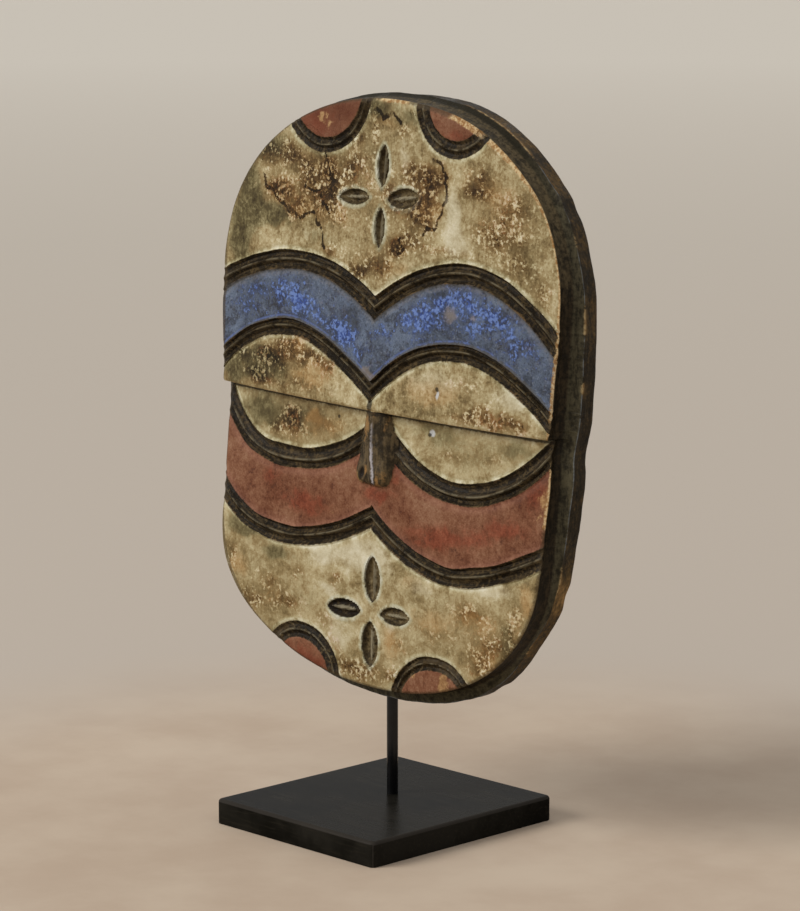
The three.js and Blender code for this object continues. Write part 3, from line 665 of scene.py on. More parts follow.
def carve_face(x, y, row):
    """Depth and paint values of one point of the face."""
    below = row["below"]
    depth = face_depth(x, y, below)
    line_mm = nearest_line(x, y, below)
    rim_mm = inside_by(x, y)
    full = lerp(GROOVE_END["shallow"], 1, ease(rim_mm, 0, GROOVE_END["reach"]))
    if row["line"]:
        line_mm = (abs(row["place"]) - 1) * LINES[row["line"]][2]
        depth += full * groove_cut(row["place"])
    elif 0 < line_mm < FIELD_CHAMFER["reach"]:
        depth += FIELD_CHAMFER["drop"] * (1 - line_mm / FIELD_CHAMFER["reach"])
    petal_mm, petal_cut, petal_ridge, petal_dark = petal_at(x, y)
    ring_mm, ring_place, disc = roundel_at(x, y)
    for size, scale in FIELD_UNEVEN:
        depth += size * wander(x, y * FIELD_STRETCH, scale, SEED["field"])
    depth += petal_cut
    if petal_mm > 0:
        depth -= PETAL["lip"] * math.exp(-petal_mm / PETAL["lip_reach"])
    if abs(ring_place) < 1:
        depth += RING_DEPTH * full * groove_cut(ring_place)
    if rim_mm < RIM_ROUND["reach"]:
        depth += RIM_ROUND["drop"] * (1 - rim_mm / RIM_ROUND["reach"]) ** 2
    ledge = 0
    if not below and y < STEP_Y + LEDGE["over"]:
        ledge = 1 - (y - STEP_Y) / LEDGE["over"]
        depth += LEDGE["drop"] * max(0, 1 - (y - STEP_Y) / LEDGE["round"])
    # Below the step, negative values lead the painted shadow under the ledge.
    elif below and y > STEP_Y - STEP_RUN - LEDGE["under"]:
        ledge = (STEP_Y - STEP_RUN - y) / LEDGE["under"] - 1
    for mark in NAIL_MARKS:
        depth += NAIL["depth"] * dome(x, y, mark, 1, NAIL["radius"])
    nose, nose_place = nose_at(x, y) if below else (None, 0)
    on_nose = 0.0
    if nose is not None and nose < depth:
        on_nose = min(1.0, (depth - nose) / NOSE_FOOT)
        depth = nose + NOSE_UNEVEN["size"] * on_nose * wander(x, y, NOSE_UNEVEN["scale"], SEED["nose"])
    blue = 1.0 if row["field"] == BLUE else 0.0
    red = 1.0 if row["field"] == RED or disc else 0.0
    forehead = y > FOREHEAD_FROM
    values = {
        "line_mm": line_mm, "line_place": row["place"], "ring_mm": ring_mm, "ring_place": ring_place,
        "petal_mm": petal_mm, "petal_ridge": petal_ridge, "petal_dark": petal_dark,
        "blue": blue, "red": red, "across": row["across"],
        "nose": on_nose, "nose_place": nose_place * on_nose if on_nose else OFF_NOSE,
        "rim_mm": rim_mm, "side": 0.0, "ledge": ledge,
        "arris": dabs(x, y, WORN_EDGE) if rim_mm < WORN_REACH else 0.0,
        "tide_mm": tide_at(x, y) if forehead else TIDE_REACH,
        "wash": dabs(x, y, WASHES) if forehead else 0.0,
        "pigment": dabs(x, y, PIGMENT) if blue else 0.0, "bare": dabs(x, y, BARE) if blue or red else 0.0,
        "redder_and_shadow": dabs(x, y, REDDER_AND_SHADOW) if red else 0.0,
    }
    values.update((name, dabs(x, y, spots)) for name, spots in FIELD_DABS.items())
    if on_nose:
        values.update((name, dabs(x, y, spots, NOSE_RAGGED)) for name, spots in NOSE_DABS.items())
    return depth, values


def to_stand(x, y, depth):
    """From the mask's own millimetres to the stand's metres."""
    cos, sin = math.cos(MASK_TURN), math.sin(MASK_TURN)
    return Vector((
        MASK_CENTRE[0] + x * cos + y * sin,
        MASK_CENTRE[1] + depth,
        MASK_CENTRE[2] - x * sin + y * cos,
    )) * MM


def deselect_all():
    bpy.ops.object.select_all(action="DESELECT")


def named(name):
    piece = bpy.context.active_object
    piece.name = name
    piece.data.name = name
    return piece


def select_parts(piece, wanted, kind="EDGE"):
    """Selects the edges or faces, in edit mode, that wanted says yes to."""
    bpy.ops.mesh.select_mode(type=kind)
    bpy.ops.mesh.select_all(action="DESELECT")
    edit = bmesh.from_edit_mesh(piece.data)
    for part in edit.edges if kind == "EDGE" else edit.faces:
        part.select_set(wanted(part))
    bmesh.update_edit_mesh(piece.data)


def add_grid(name, columns, rows):
    """A flat grid of size 1 with room for the paint values at each point."""
    deselect_all()
    bpy.ops.mesh.primitive_grid_add(x_subdivisions=columns, y_subdivisions=rows, size=1)
    piece = named(name)
    for value in ATTRIBUTES:
        piece.data.attributes.new(value, "FLOAT", "POINT")
    piece.data.attributes.new("loop", "INT", "POINT")
    return piece


def grid_number(vertex, columns, rows):
    return round((vertex.co.x + 0.5) * columns), round((0.5 - vertex.co.y) * rows)


def face_grid():
    """The face: a flat grid whose points are moved on to the carved rows."""
    rows = face_rows()
    columns = len(PARTS) - 1
    last_row = len(rows) - 1
    piece = add_grid("painted_mask", columns, last_row)
    layers = {name: piece.data.attributes[name].data for name in (*ATTRIBUTES, "loop")}
    bases = {}
    for vertex in piece.data.vertices:
        column, number = grid_number(vertex, columns, last_row)
        row = rows[number]
        plain_x, plain_y = row["spots"][column]
        x, y = bulge(plain_x, plain_y)
        depth, values = carve_face(x, y, row)
        at = loop_number(column, number, columns, last_row)
        if at is not None:
            values["rim_mm"] = 0
            bases[at] = (x, y, depth, plain_y)
        values["loop"] = 0 if at is None else at + 1
        for name, layer in layers.items():
            layer[vertex.index].value = values[name]
        vertex.co = to_stand(x, y, depth)
    return piece, bases


def loop_number(column, number, columns, last_row):
    """Where a grid point lies along the face's edge, or None inside it."""
    if number == 0:
        return column
    if column == columns:
        return columns + number
    if number == last_row:
        return columns + last_row + (columns - column)
    if column == 0:
        return 2 * columns + last_row + (last_row - number)
    return None


def ring_spot(base, ring):
    """A point of one of the side's rings, drawn back from the face's edge."""
    x, y, depth, plain_y = base
    way = outward(x, plain_y)
    stand = rim_stand(plain_y)
    along = math.atan2(y, x) * RING_UNEVEN["radius"]
    uneven = 0
    for size, step, scale, seed in RING_UNEVEN["waves"]:
        uneven += size * wander(along, ring * step, scale, seed)
    if ring < len(COVE):
        out, stand_part, part = COVE[ring]
        out += stand_part * stand + uneven * min(1, ring / RING_UNEVEN["full_from"])
        new_y = y + way.y * out
        return x + way.x * out, new_y, lerp(depth, back_depth(new_y) - RIM["flank"], part)
    inwards, behind = (0, 0) if ring == len(COVE) else FLANK[ring - len(COVE) - 1]
    chip = sum(size * max(0, 1 - math.hypot(x - at[0], y - at[1]) / reach) for at, reach, size in RIM_CHIPS)
    out = stand - inwards - chip + uneven
    new_y = y + way.y * out
    return x + way.x * out, new_y, back_depth(new_y) - RIM["flank"] + behind


def add_sides(piece, bases):
    """The cove, the rim and the back's edge, drawn back from the face's edge ring by ring."""
    bpy.context.view_layer.objects.active = piece
    bpy.ops.object.mode_set(mode="EDIT")
    select_parts(piece, lambda edge: edge.is_boundary)
    for ring in range(len(COVE) + 1 + len(FLANK)):
        bpy.ops.mesh.extrude_edges_move()
        edit = bmesh.from_edit_mesh(piece.data)
        loop = edit.verts.layers.int["loop"]
        paint = edit.verts.layers.float
        side, rim, ochre, worn = (paint[name] for name in ("side", "rim_mm", "ochre", "arris"))
        for vertex in edit.verts:
            if vertex.select:
                x, y, depth = ring_spot(bases[vertex[loop] - 1], ring)
                vertex.co = to_stand(x, y, depth)
                vertex[side] = float(ring + 1)
                vertex[rim] = -float(ring + 1)
                if ring >= FIRST_PAINTED_RING:
                    vertex[ochre] = dabs(x, y, FLANK_OCHRE)
                    vertex[worn] = dabs(x, y, WORN_RIM)
        bmesh.update_edit_mesh(piece.data)
    bpy.ops.object.mode_set(mode="OBJECT")


def edge_spot(edge, u, v, columns, last_row):
    """The outline's point for a point on the rim of a square from -1 to 1."""
    if v == -1:
        place = (u + 1) / 2 * columns
    elif u == 1:
        place = columns + (v + 1) / 2 * last_row
    elif v == 1:
        place = columns + last_row + (1 - u) / 2 * columns
    else:
        place = 2 * columns + last_row + (1 - v) / 2 * last_row
    number = int(place) % len(edge)
    return edge[number].lerp(edge[(number + 1) % len(edge)], place - int(place))


def add_back(piece, bases):
    """The back: a coarse grid inside the last ring, joined to it all round."""
    across, up = BACK_GRID
    rings = len(COVE) + len(FLANK)
    edge = [Vector(ring_spot(bases[k], rings)[:2]) for k in range(len(bases))]
    columns = len(PARTS) - 1
    last_row = len(edge) // 2 - columns
    back = add_grid("back", across, up)
    side = back.data.attributes["side"].data
    for vertex in back.data.vertices:
        column, number = grid_number(vertex, across, up)
        u = 2 * column / across - 1
        v = 2 * number / up - 1
        out = max(abs(u), abs(v))
        spot = Vector((0, 0))
        if out > 0:
            spot = edge_spot(edge, u / out, v / out, columns, last_row)
            spot = spot - spot.normalized() * BACK["inset"]
        x, y = spot.x * out, spot.y * out
        side[vertex.index].value = BACK_SIDE
        hollow = BACK["hollow"] * (1 - out ** BACK["hollow_end"])
        marks = wander(x * BACK["adze_across"], y * BACK["adze_up"], BACK["adze_scale"], SEED["back"])
        adze = BACK["adze"] * (abs(marks) - BACK["adze_middle"]) * (1 - out ** BACK["adze_end"])
        vertex.co = to_stand(x, y, back_depth(y) - hollow - adze)
    deselect_all()
    back.select_set(True)
    piece.select_set(True)
    bpy.context.view_layer.objects.active = piece
    bpy.ops.object.join()
    bpy.ops.object.mode_set(mode="EDIT")
    select_parts(piece, lambda edge: edge.is_boundary)
    bpy.ops.mesh.bridge_edge_loops()
    bpy.ops.mesh.select_all(action="SELECT")
    bpy.ops.mesh.normals_make_consistent(inside=False)
    bpy.ops.mesh.select_all(action="DESELECT")
    bpy.ops.object.mode_set(mode="OBJECT")


def make_mask():
    piece, bases = face_grid()
    add_sides(piece, bases)
    add_back(piece, bases)
    deselect_all()
    piece.select_set(True)
    bpy.context.view_layer.objects.active = piece
    bpy.ops.object.shade_smooth_by_angle(angle=MASK_SMOOTH)
    return piece


def heights(edge):
    return [vertex.co.z for vertex in edge.verts]


def apply_size():
    """Fixes the size of a new primitive and opens it for editing."""
    bpy.ops.object.transform_apply(location=True, rotation=True, scale=True)
    bpy.ops.object.mode_set(mode="EDIT")


def close_smoothly():
    bpy.ops.object.mode_set(mode="OBJECT")
    bpy.ops.object.shade_smooth_by_angle(angle=STAND_SMOOTH)


def ease_edges(piece, wanted, width, segments):
    """Bevels the edges that wanted says yes to."""
    select_parts(piece, wanted)
    bpy.ops.mesh.bevel(offset=width * MM, segments=segments, affect="EDGES")


def make_plate():
    """The base plate: a board with eased upper edges and nearly sharp corners."""
    low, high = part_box("base_plate")
    deselect_all()
    bpy.ops.mesh.primitive_cube_add(size=1, location=(low + high) / 2)
    piece = named("plate_board")
    piece.scale = high - low
    apply_size()
    ease_edges(piece, lambda edge: max(heights(edge)) - min(heights(edge)) > UPRIGHT, *PLATE["corners"])
    ease_edges(piece, lambda edge: min(heights(edge)) > high.z - TOUCH, *PLATE["top"])
    # A narrow strip inside the rounding keeps the flat top flat in the light.
    select_parts(piece, lambda face: face.normal.z > LEVEL, "FACE")
    for _ in range(2):
        bpy.ops.mesh.inset(thickness=PLATE["strip"] * MM)
    ease_edges(piece, lambda edge: max(heights(edge)) < low.z + TOUCH, *PLATE["bottom"])
    close_smoothly()
    # The eased top edges and the corners are marked for wear and a painted highlight.
    wear_and_highlight = piece.data.attributes.new("wear_and_highlight", "FLOAT", "POINT").data
    for vertex in piece.data.vertices:
        spot = vertex.co
        gaps = (min(spot.x - low.x, high.x - spot.x), min(spot.y - low.y, high.y - spot.y))
        rounded = spot.z > high.z - EDGE_WEAR_AND_HIGHLIGHT["down"] * MM and min(gaps) < EDGE_WEAR_AND_HIGHLIGHT["in"] * MM
        corner = max(gaps) < EDGE_WEAR_AND_HIGHLIGHT["corner"] * MM
        wear_and_highlight[vertex.index].value = 1.0 if rounded or corner else 0.0
    return piece


def make_rod():
    """The steel rod, with its ends in the plate and in the mask's chin."""
    low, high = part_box("rod")
    deselect_all()
    bpy.ops.mesh.primitive_cylinder_add(
        vertices=ROD_SIDES, radius=(high.x - low.x) / 2, depth=high.z - low.z, location=(low + high) / 2,
    )
    piece = named("steel_rod")
    apply_size()
    ease_edges(piece, lambda edge: max(heights(edge)) - min(heights(edge)) < TOUCH, *ROD_ENDS)
    close_smoothly()
    return piece


def srgb(red, green, blue):
    """A colour given as on a paint card, from 0 to 255, as the shader wants it."""
    parts = []
    for value in (red, green, blue):
        value /= 255
        parts.append(value / 12.92 if value < 0.04045 else ((value + 0.055) / 1.055) ** 2.4)
    return (*parts, 1)


class Layer:
    """A value or a colour in a material, which can be added to and multiplied."""

    def __init__(self, finish, socket):
        self.finish = finish
        self.socket = socket

    def __add__(self, other):
        return self.finish.maths("ADD", self, other)

    def __radd__(self, other):
        return self.finish.maths("ADD", other, self)

    def __mul__(self, other):
        return self.finish.maths("MULTIPLY", self, other)

    def __abs__(self):
        return self.finish.maths("ABSOLUTE", self, 0.0)


class Finish:
    """A material put together from layers of noise, marks and colours."""

    def __init__(self, name):
        self.material = bpy.data.materials.new(name)
        self.material.use_nodes = True
        self.tree = self.material.node_tree
        self.place = self.node("TexCoord", output="Object")

    def put(self, value, socket):
        """Links a layer to a socket, or sets a plain value on it."""
        if isinstance(value, Layer):
            self.tree.links.new(value.socket, socket)
        else:
            socket.default_value = value

    def node(self, kind, inputs=(), output=0, **settings):
        """An output of a new node that is made with these inputs and settings."""
        made = self.tree.nodes.new("ShaderNode" + kind)
        for name, value in settings.items():
            setattr(made, name, value)
        for place, value in dict(inputs).items():
            self.put(value, made.inputs[place])
        return Layer(self, made.outputs[output])

    def value(self, name):
        return self.node("Attribute", output="Fac", attribute_name=name)

    def maths(self, operation, first, second):
        return self.node("Math", {0: first, 1: second}, operation=operation)

    def step(self, value, start, end):
        """0 at start, 1 at end and smooth in between; start may be the larger one."""
        ends = {"From Min": min(start, end), "From Max": max(start, end),
                "To Min": 0 if start < end else 1, "To Max": 1 if start < end else 0}
        return self.node("MapRange", {"Value": value, **ends}, interpolation_type="SMOOTHSTEP")

    def band(self, value, middle, half):
        """1 at the middle value, falling to 0 at half a band's width away."""
        return self.step(abs(self.maths("SUBTRACT", value, middle)), half, 0)

    def coordinate(self, number):
        """One of the three coordinates, from 0 to 2."""
        return self.node("SeparateXYZ", {0: self.place}, number)

    def stretch(self, scale):
        return self.node("Mapping", {"Vector": self.place, "Scale": scale}, "Vector")

    def grain(self, scale, detail=4, rough=0.6, warp=0.0, vector=None):
        """Noise between 0 and 1 with about scale bumps in a metre."""
        inputs = {"Vector": vector or self.place, "Scale": scale, "Detail": detail, "Roughness": rough}
        return self.node("TexNoise", {**inputs, "Distortion": warp}, "Fac")

    def flakes(self, scale):
        """A patchwork of small flakes, each with a value of its own."""
        return self.node("TexVoronoi", {"Vector": self.place, "Scale": scale}, "Color")

    def swing(self, grain, amount):
        """A grain between 0 and 1 as a swing about zero."""
        return self.node("Math", {0: grain, 1: amount, 2: -amount / 2}, operation="MULTIPLY_ADD")

    def along(self, place, across, length):
        """A vector for marks that run along a carved line."""
        parts = {0: place * across, 1: self.coordinate(0) * length, 2: self.coordinate(2) * length}
        return self.node("CombineXYZ", parts)

    def away_from(self, spot, half_width, half_height):
        """Distance from a spot of the face, where 1 is the edge of an oval mark."""
        centre = to_stand(*spot, 0)
        scale = (1 / (half_width * MM), 0, 1 / (half_height * MM))
        inputs = {0: self.stretch(scale), 1: (centre.x * scale[0], 0, centre.z * scale[2])}
        return self.node("VectorMath", inputs, "Value", operation="DISTANCE")

    def ramp(self, value, stops):
        """A colour that follows a value through the stops, each a place and a colour."""
        made = self.node("ValToRGB", {0: value})
        marks = made.socket.node.color_ramp.elements
        marks[0].position, marks[0].color = stops[0][0], srgb(*stops[0][1])
        marks[1].position, marks[1].color = stops[-1][0], srgb(*stops[-1][1])
        for place, colour in stops[1:-1]:
            marks.new(place).color = srgb(*colour)
        return made

    def mix(self, part, first, second):
        """The first colour with a part of the second one, each a layer or a paint."""
        first, second = (srgb(*paint) if isinstance(paint, tuple) else paint for paint in (first, second))
        return self.node("Mix", {0: part, 6: first, 7: second}, 2, data_type="RGBA")

    def bump(self, height, distance, strength, normal=None):
        inputs = {"Height": height, "Distance": distance, "Strength": strength}
        if normal:
            inputs["Normal"] = normal
        return self.node("Bump", inputs, "Normal")

    def done(self, colour, rough, gloss, normal=None):
        """The material, with its colour, roughness, gloss and bumps put in place."""
        inputs = self.tree.nodes["Principled BSDF"].inputs
        self.put(colour, inputs["Base Color"])
        self.put(rough, inputs["Roughness"])
        inputs["Specular IOR Level"].default_value = gloss
        if normal:
            self.put(normal, inputs["Normal"])
        return self.material


# Paints and woods from dark to light, each colour as on a paint card.
IVORY_BROWN = ((0, (34, 22, 8)), (0.18, (66, 46, 22)), (0.36, (106, 80, 45)), (0.52, (144, 119, 79)),
               (0.68, (172, 155, 118)), (0.84, (194, 183, 152)), (1, (210, 203, 180)))
IVORY_OLIVE = ((0, (32, 26, 12)), (0.18, (60, 50, 30)), (0.36, (90, 80, 52)), (0.52, (127, 117, 84)),
               (0.68, (161, 153, 120)), (0.84, (184, 178, 149)), (1, (203, 199, 178)))
TERRACOTTA = ((0, (50, 26, 16)), (0.3, (92, 52, 33)), (0.55, (120, 81, 59)), (0.8, (141, 107, 84)),
              (1, (176, 138, 108)))
DEEP_RED = ((0, (48, 18, 10)), (0.3, (90, 34, 20)), (0.6, (122, 50, 31)), (1, (156, 84, 52)))
DUSTY_PINK = ((0, (66, 42, 32)), (0.4, (118, 78, 62)), (0.7, (146, 103, 84)), (1, (176, 138, 112)))
BARE_WOOD = ((0.2, (108, 74, 44)), (0.5, (150, 116, 76)), (0.8, (184, 152, 108)))
HOLLOW = ((0, (22, 16, 9)), (0.25, (52, 42, 26)), (0.5, (92, 78, 52)), (1, (144, 130, 98)))
FLOOR_FAR = ((0.05, (186, 175, 163)), (0.4, (190, 182, 171)), (1, (206, 200, 190)))
FLANK_WOOD = ((0.3, (24, 20, 13)), (0.5, (54, 45, 31)), (0.68, (94, 74, 45)), (0.9, (150, 118, 74)))


def painted_wood():
    f = Finish("painted_wood")
    step, swing, mix, value, grain, band, ramp = f.step, f.swing, f.mix, f.value, f.grain, f.band, f.ramp
    coarse = grain(24, 5, 0.6, 0.5)
    middle = grain(85, 6, 0.68, 0.4)
    fine = grain(330, 5, 0.7)
    speck = grain(800, 3, 0.6)
    flake = f.flakes(560)
    strokes = grain(1, 5, 0.65, 0.2, f.stretch((420, 420, 70)))
    ragged = swing(middle, 1.6) + swing(fine, 3.2) + swing(speck, 2.0)
    line_mm, line_place, ring_mm, ring_place, petal_mm, rim_mm, side, ochre, worn = map(value, (
        "line_mm", "line_place", "ring_mm", "ring_place", "petal_mm", "rim_mm", "side", "ochre", "arris"))
    near_line = f.maths("MINIMUM", line_mm, ring_mm)
    near = f.maths("MINIMUM", near_line, petal_mm + 0.4)
    height = f.coordinate(2)

    # The pale paint. One level runs from crusted dirt to clean cream, and a second
    # value leads from olive to brown.
    mottle = swing(middle, 1.6) + swing(fine, 1.0)
    stain_level = value("stain_and_shade") * 0.9 + mottle
    stained = step(stain_level, 0.28, 0.78)
    crusted = step(stain_level, 0.95, 1.25)
    grimed = step(value("grime") * 0.9 + mottle * 0.6, 0.2, 0.85)
    washed = step(value("wash") + mottle * 0.5, 0.15, 0.8)
    cracked = step(value("tide_mm") + ragged * 0.8, 1.6, 0.8) * step(middle, 0.34, 0.48)
    paled = step(value("pale_and_highlight") + mottle * 0.5, 0.2, 0.8)
    tint = step(ochre * 0.8 + mottle * 0.7, 0.15, 0.9)
    clean = step(near + ragged, 4.5, 0.5)
    bright_edge = band(near_line + ragged * 0.6, 1.2, 2.2) * step(middle, 0.38, 0.6)
    petal_lip = step(petal_mm + ragged * 0.8, 3.8, 1.2) * step(middle, 0.36, 0.58)
    rough_grain = swing(fine, 0.55) + swing(flake, 0.16) + swing(speck, 0.15) + swing(strokes, 0.3)
    stain_rim = band(stain_level, 0.36, 0.14)
    # The paint is smoother below the step.
    crumbled = 0.52 + step(height, 0.286, 0.306) * 0.36
    rough_grain = rough_grain * (crumbled + stained * 0.6 + paled * -0.25)
    level = 0.595 + swing(coarse, 0.6) + swing(middle, 0.9) + value("pale_and_highlight") * 0.11 + rough_grain
    level = level + stained * -0.26 + crusted * -0.12 + grimed * -0.2 + washed * -0.14 + cracked * -0.46
    level = level + paled * 0.06 + clean * 0.05 + bright_edge * 0.18 + petal_lip * 0.18 + stain_rim * -0.07
    crust = step(fine + swing(flake, 0.34) + swing(middle, 0.4), 0.55, 0.67)
    level = level + crust * (0.03 + stained * 0.16)
    islands = step(middle + swing(fine, 0.9) + swing(flake, 0.2), 0.535, 0.59)
    level = level + islands * stained * 0.2
    pits = step(speck + swing(coarse, 0.3), 0.38, 0.3) * (0.2 + stained * 0.6)
    level = level + pits * -0.26
    brown = ramp(level, IVORY_BROWN)
    olive = ramp(level, IVORY_OLIVE)
    warmth = 0.54 + swing(coarse, 0.7) + swing(middle, 0.2) + tint * 0.3 + stained * 0.25 + washed * 0.3
    warmth = warmth + grimed * -0.5 + clean * -0.15 + bright_edge * -0.3 + petal_lip * -0.5
    ivory = mix(step(warmth, 0, 1), olive, brown)
    ivory = mix(tint * 0.36, ivory, (168, 126, 74))
    ivory = mix(paled * 0.26, ivory, (190, 184, 166))
    ivory = mix(petal_lip * 0.3, ivory, (160, 166, 158))
    rust = step(coarse + swing(fine, 1.2), 0.56, 0.7) * step(stain_level, 0.3, 0.7)
    ivory = mix(rust * 0.35, ivory, (136, 84, 44))
    for spots, paint in ((CHIPS, (182, 184, 186)), (DARK_MARKS, (38, 31, 22))):
        for spot in spots:
            away = f.away_from(*spot) + swing(fine, 1.0)
            ivory = mix(step(away, 1.2, 0.7) * 0.85, ivory, paint)

    # The blue: a grey slate, clouded brown, with flakes of ultramarine that is left.
    across = value("across")
    flaking = swing(middle, 1.1) + swing(fine, 1.6) + swing(flake, 0.5)
    slate = mix(step(coarse, 0.36, 0.64), (56, 62, 73), (95, 107, 127))
    slate = mix(step(middle + swing(fine, 0.5), 0.46, 0.64) * 0.7, slate, (62, 58, 54))
    smudged = step(coarse + swing(middle, 0.9), 0.54, 0.66)
    slate = mix(smudged * 0.65, slate, (44, 44, 46))
    slate = mix(step(fine + swing(speck, 0.8), 0.54, 0.68) * 0.6, slate, (116, 124, 140))
    slate = mix(step(fine + swing(speck, 0.8), 0.46, 0.32) * 0.6, slate, (38, 38, 44))
    slate = mix(grimed * 0.6, slate, (48, 48, 48))
    flake_level = value("pigment") * 0.4 + flaking
    blue_wash = step(flake_level, 0.0, 0.5)
    slate = mix(blue_wash * 0.45, slate, (60, 76, 120))
    left_over = step(flake_level, 0.34, 0.58)
    pigment = mix(step(flake + swing(fine, 1.2), 0.3, 0.8), (50, 72, 136), (104, 128, 184))
    slate = mix(left_over * 0.85, slate, pigment)
    upper_band = step(line_mm + ragged, 6, 2.5) * step(across, 0.5, 0.3) * step(fine, 0.4, 0.58)
    slate = mix(upper_band * 0.7, slate, (100, 100, 104))
    # A painted highlight along the raised lip at the lower edge of the blue.
    painted_lip_highlight = band(line_mm + ragged * 0.4, 2.0, 1.4) * step(across, 0.5, 0.7)
    slate = mix(painted_lip_highlight * step(middle, 0.4, 0.56) * 0.7, slate, (90, 108, 160))
    worn_blue = step(value("bare") * 0.8 + flaking * 0.5, 0.4, 0.75)
    slate = mix(worn_blue * 0.7, slate, (124, 114, 106))
    edge_dust = step(line_mm + ragged, 2.4, 0.4) * 0.6
    slate = mix(edge_dust, slate, (76, 72, 64))

    # The red: terracotta, pinkish beside the lines, deeper inside each lobe and darker in
    # the painted shadow of the nose.
    grit = swing(fine, 0.75) + swing(speck, 0.5) + swing(strokes, 0.2)
    red_level = 0.48 + swing(coarse, 1.0) + swing(middle, 0.7) + grit
    terracotta = ramp(red_level, TERRACOTTA)
    # Deeper red inside the lobes, and the painted shadow of the nose.
    deep = step(value("redder_and_shadow") * 0.9 + mottle, 0.2, 0.95)
    terracotta = mix(deep * 0.6, terracotta, ramp(red_level, DEEP_RED))
    dusty = step(line_mm + ragged, 8, 1) * 0.5
    terracotta = mix(dusty, terracotta, ramp(red_level, DUSTY_PINK))
    sooty = step(middle + swing(fine, 1.0), 0.38, 0.22) * 0.36
    terracotta = mix(sooty, terracotta, (70, 46, 38))
    terracotta = mix(grimed * 0.6, terracotta, (80, 40, 24))
    worn_red = step(value("bare") * 0.9 + mottle * 1.1, 0.45, 0.8)
    terracotta = mix(worn_red * 0.8, terracotta, ramp(red_level, BARE_WOOD))

    colour = mix(value("blue"), ivory, slate)
    colour = mix(step(value("red"), 0.45, 0.55), colour, terracotta)

    # The black of the carved lines, with tool marks along them, a thin worn crest and
    # brown rubbed lips.
    tool_marks = grain(1, 4, 0.65, 0.0, f.along(line_place, 4.5, 45))
    black_level = tool_marks + swing(fine, 0.8) + swing(speck, 0.5)
    black = mix(step(black_level, 0.4, 0.7), (25, 19, 10), (66, 54, 35))
    crest_place = f.maths("MINIMUM", abs(line_place), abs(ring_place))
    crest = step(crest_place + ragged * 0.05, 0.17, 0.05)
    black = mix(crest * step(middle, 0.4, 0.58) * 0.75, black, (112, 103, 82))
    lip_level = step(near_line, -2.6, 0) + swing(middle, 2.4) + swing(fine, 1.4) + ochre * 0.3
    black = mix(step(lip_level, 0.9, 1.35) * 0.75, black, (112, 88, 58))
    faded = step(middle + swing(fine, 0.8), 0.58, 0.7) * step(ring_mm, 1, -1)
    black = mix(faded * 0.6, black, (96, 86, 66))
    gritty = step(fine + swing(flake, 0.3) + swing(middle, 0.8), 0.58, 0.7) * 0.32
    black = mix(gritty, black, (104, 86, 54))
    lines = step(near_line + ragged * 0.3, 0.35, -0.35)
    colour = mix(lines, colour, black)

    # The petals: dark brown hollows with a worn ridge, and pale lips around them.
    petal_level = 0.45 + swing(middle, 1.2) + swing(fine, 1.0) + swing(flake, 0.3)
    hollow = ramp(petal_level + value("petal_dark") * -0.4, HOLLOW)
    petal_rim = step(petal_mm + ragged * 0.6, -2.4, -0.4)
    hollow = mix(petal_rim * 0.55, hollow, (34, 27, 18))
    ridge = step(value("petal_ridge") + swing(fine, 1.4), 0.25, 0.7)
    hollow = mix(ridge * 0.7, hollow, (142, 134, 112))
    petals = step(petal_mm + ragged * 0.3, 0.4, -0.5)
    colour = mix(petals, colour, hollow)

    # The nose: dark rubbed wood, golden on its left flank, with a painted highlight along
    # its ridge and painted shade on its flanks, in its dimple and under its tip.
    nose_place = value("nose_place")
    nose_level = strokes + swing(middle, 0.8) + swing(fine, 0.6)
    nose_wood = mix(step(nose_level, 0.36, 0.66), (44, 37, 26), (88, 74, 52))
    golden = step(ochre * 0.9 + swing(middle, 1.4) + swing(fine, 1.6), 0.3, 0.9)
    nose_wood = mix(golden * 0.75, nose_wood, (146, 110, 66))
    shine = step(value("pale_and_highlight") + swing(fine, 1.2), 0.15, 0.85)
    # A painted highlight along the worn ridge of the nose, where the shine dabs allow it.
    wear_and_highlight = band(nose_place + swing(fine, 0.3), 0.03, 0.11) * shine
    nose_wood = mix(wear_and_highlight * 0.85, nose_wood, (172, 168, 172))
    # Painted shade on the nose, from its dark dabs.
    nose_wood = mix(step(value("stain_and_shade"), 0.3, 1.0), nose_wood, (30, 24, 18))
    nose = step(value("nose"), 0.3, 0.7)
    colour = mix(nose, colour, nose_wood)

    # The face's edge, worn to ochre wood at the right and rubbed dark elsewhere.
    edge_level = rim_mm + ragged
    dark_edge = step(edge_level, 2.2, 0.3) * step(worn, 0.7, 0.2)
    colour = mix(dark_edge * 0.65, colour, (66, 54, 36))
    chipped = step(rim_mm + ragged * 1.3, 1.9, 0.9) * step(side, 1.3, 0.6)
    chipped = chipped * step(worn + swing(middle, 1.0) + lines * -0.35, 0.25, 0.55)
    arris_wood = mix(step(fine + swing(flake, 0.2), 0.4, 0.6), (146, 108, 64), (204, 180, 138))
    colour = mix(chipped * 0.85, colour, arris_wood)
    ledge = step(value("ledge"), 0.7, 0.95) * step(fine + swing(middle, 1.0), 0.42, 0.6)
    colour = mix(ledge * 0.45, colour, (146, 112, 70))
    # Just under the step, a dark line: painted shadow of the ledge.
    painted_step_shadow = step(value("ledge") + swing(fine, 0.5), -0.36, -0.58)
    colour = mix(painted_step_shadow * 0.8, colour, (34, 28, 20))
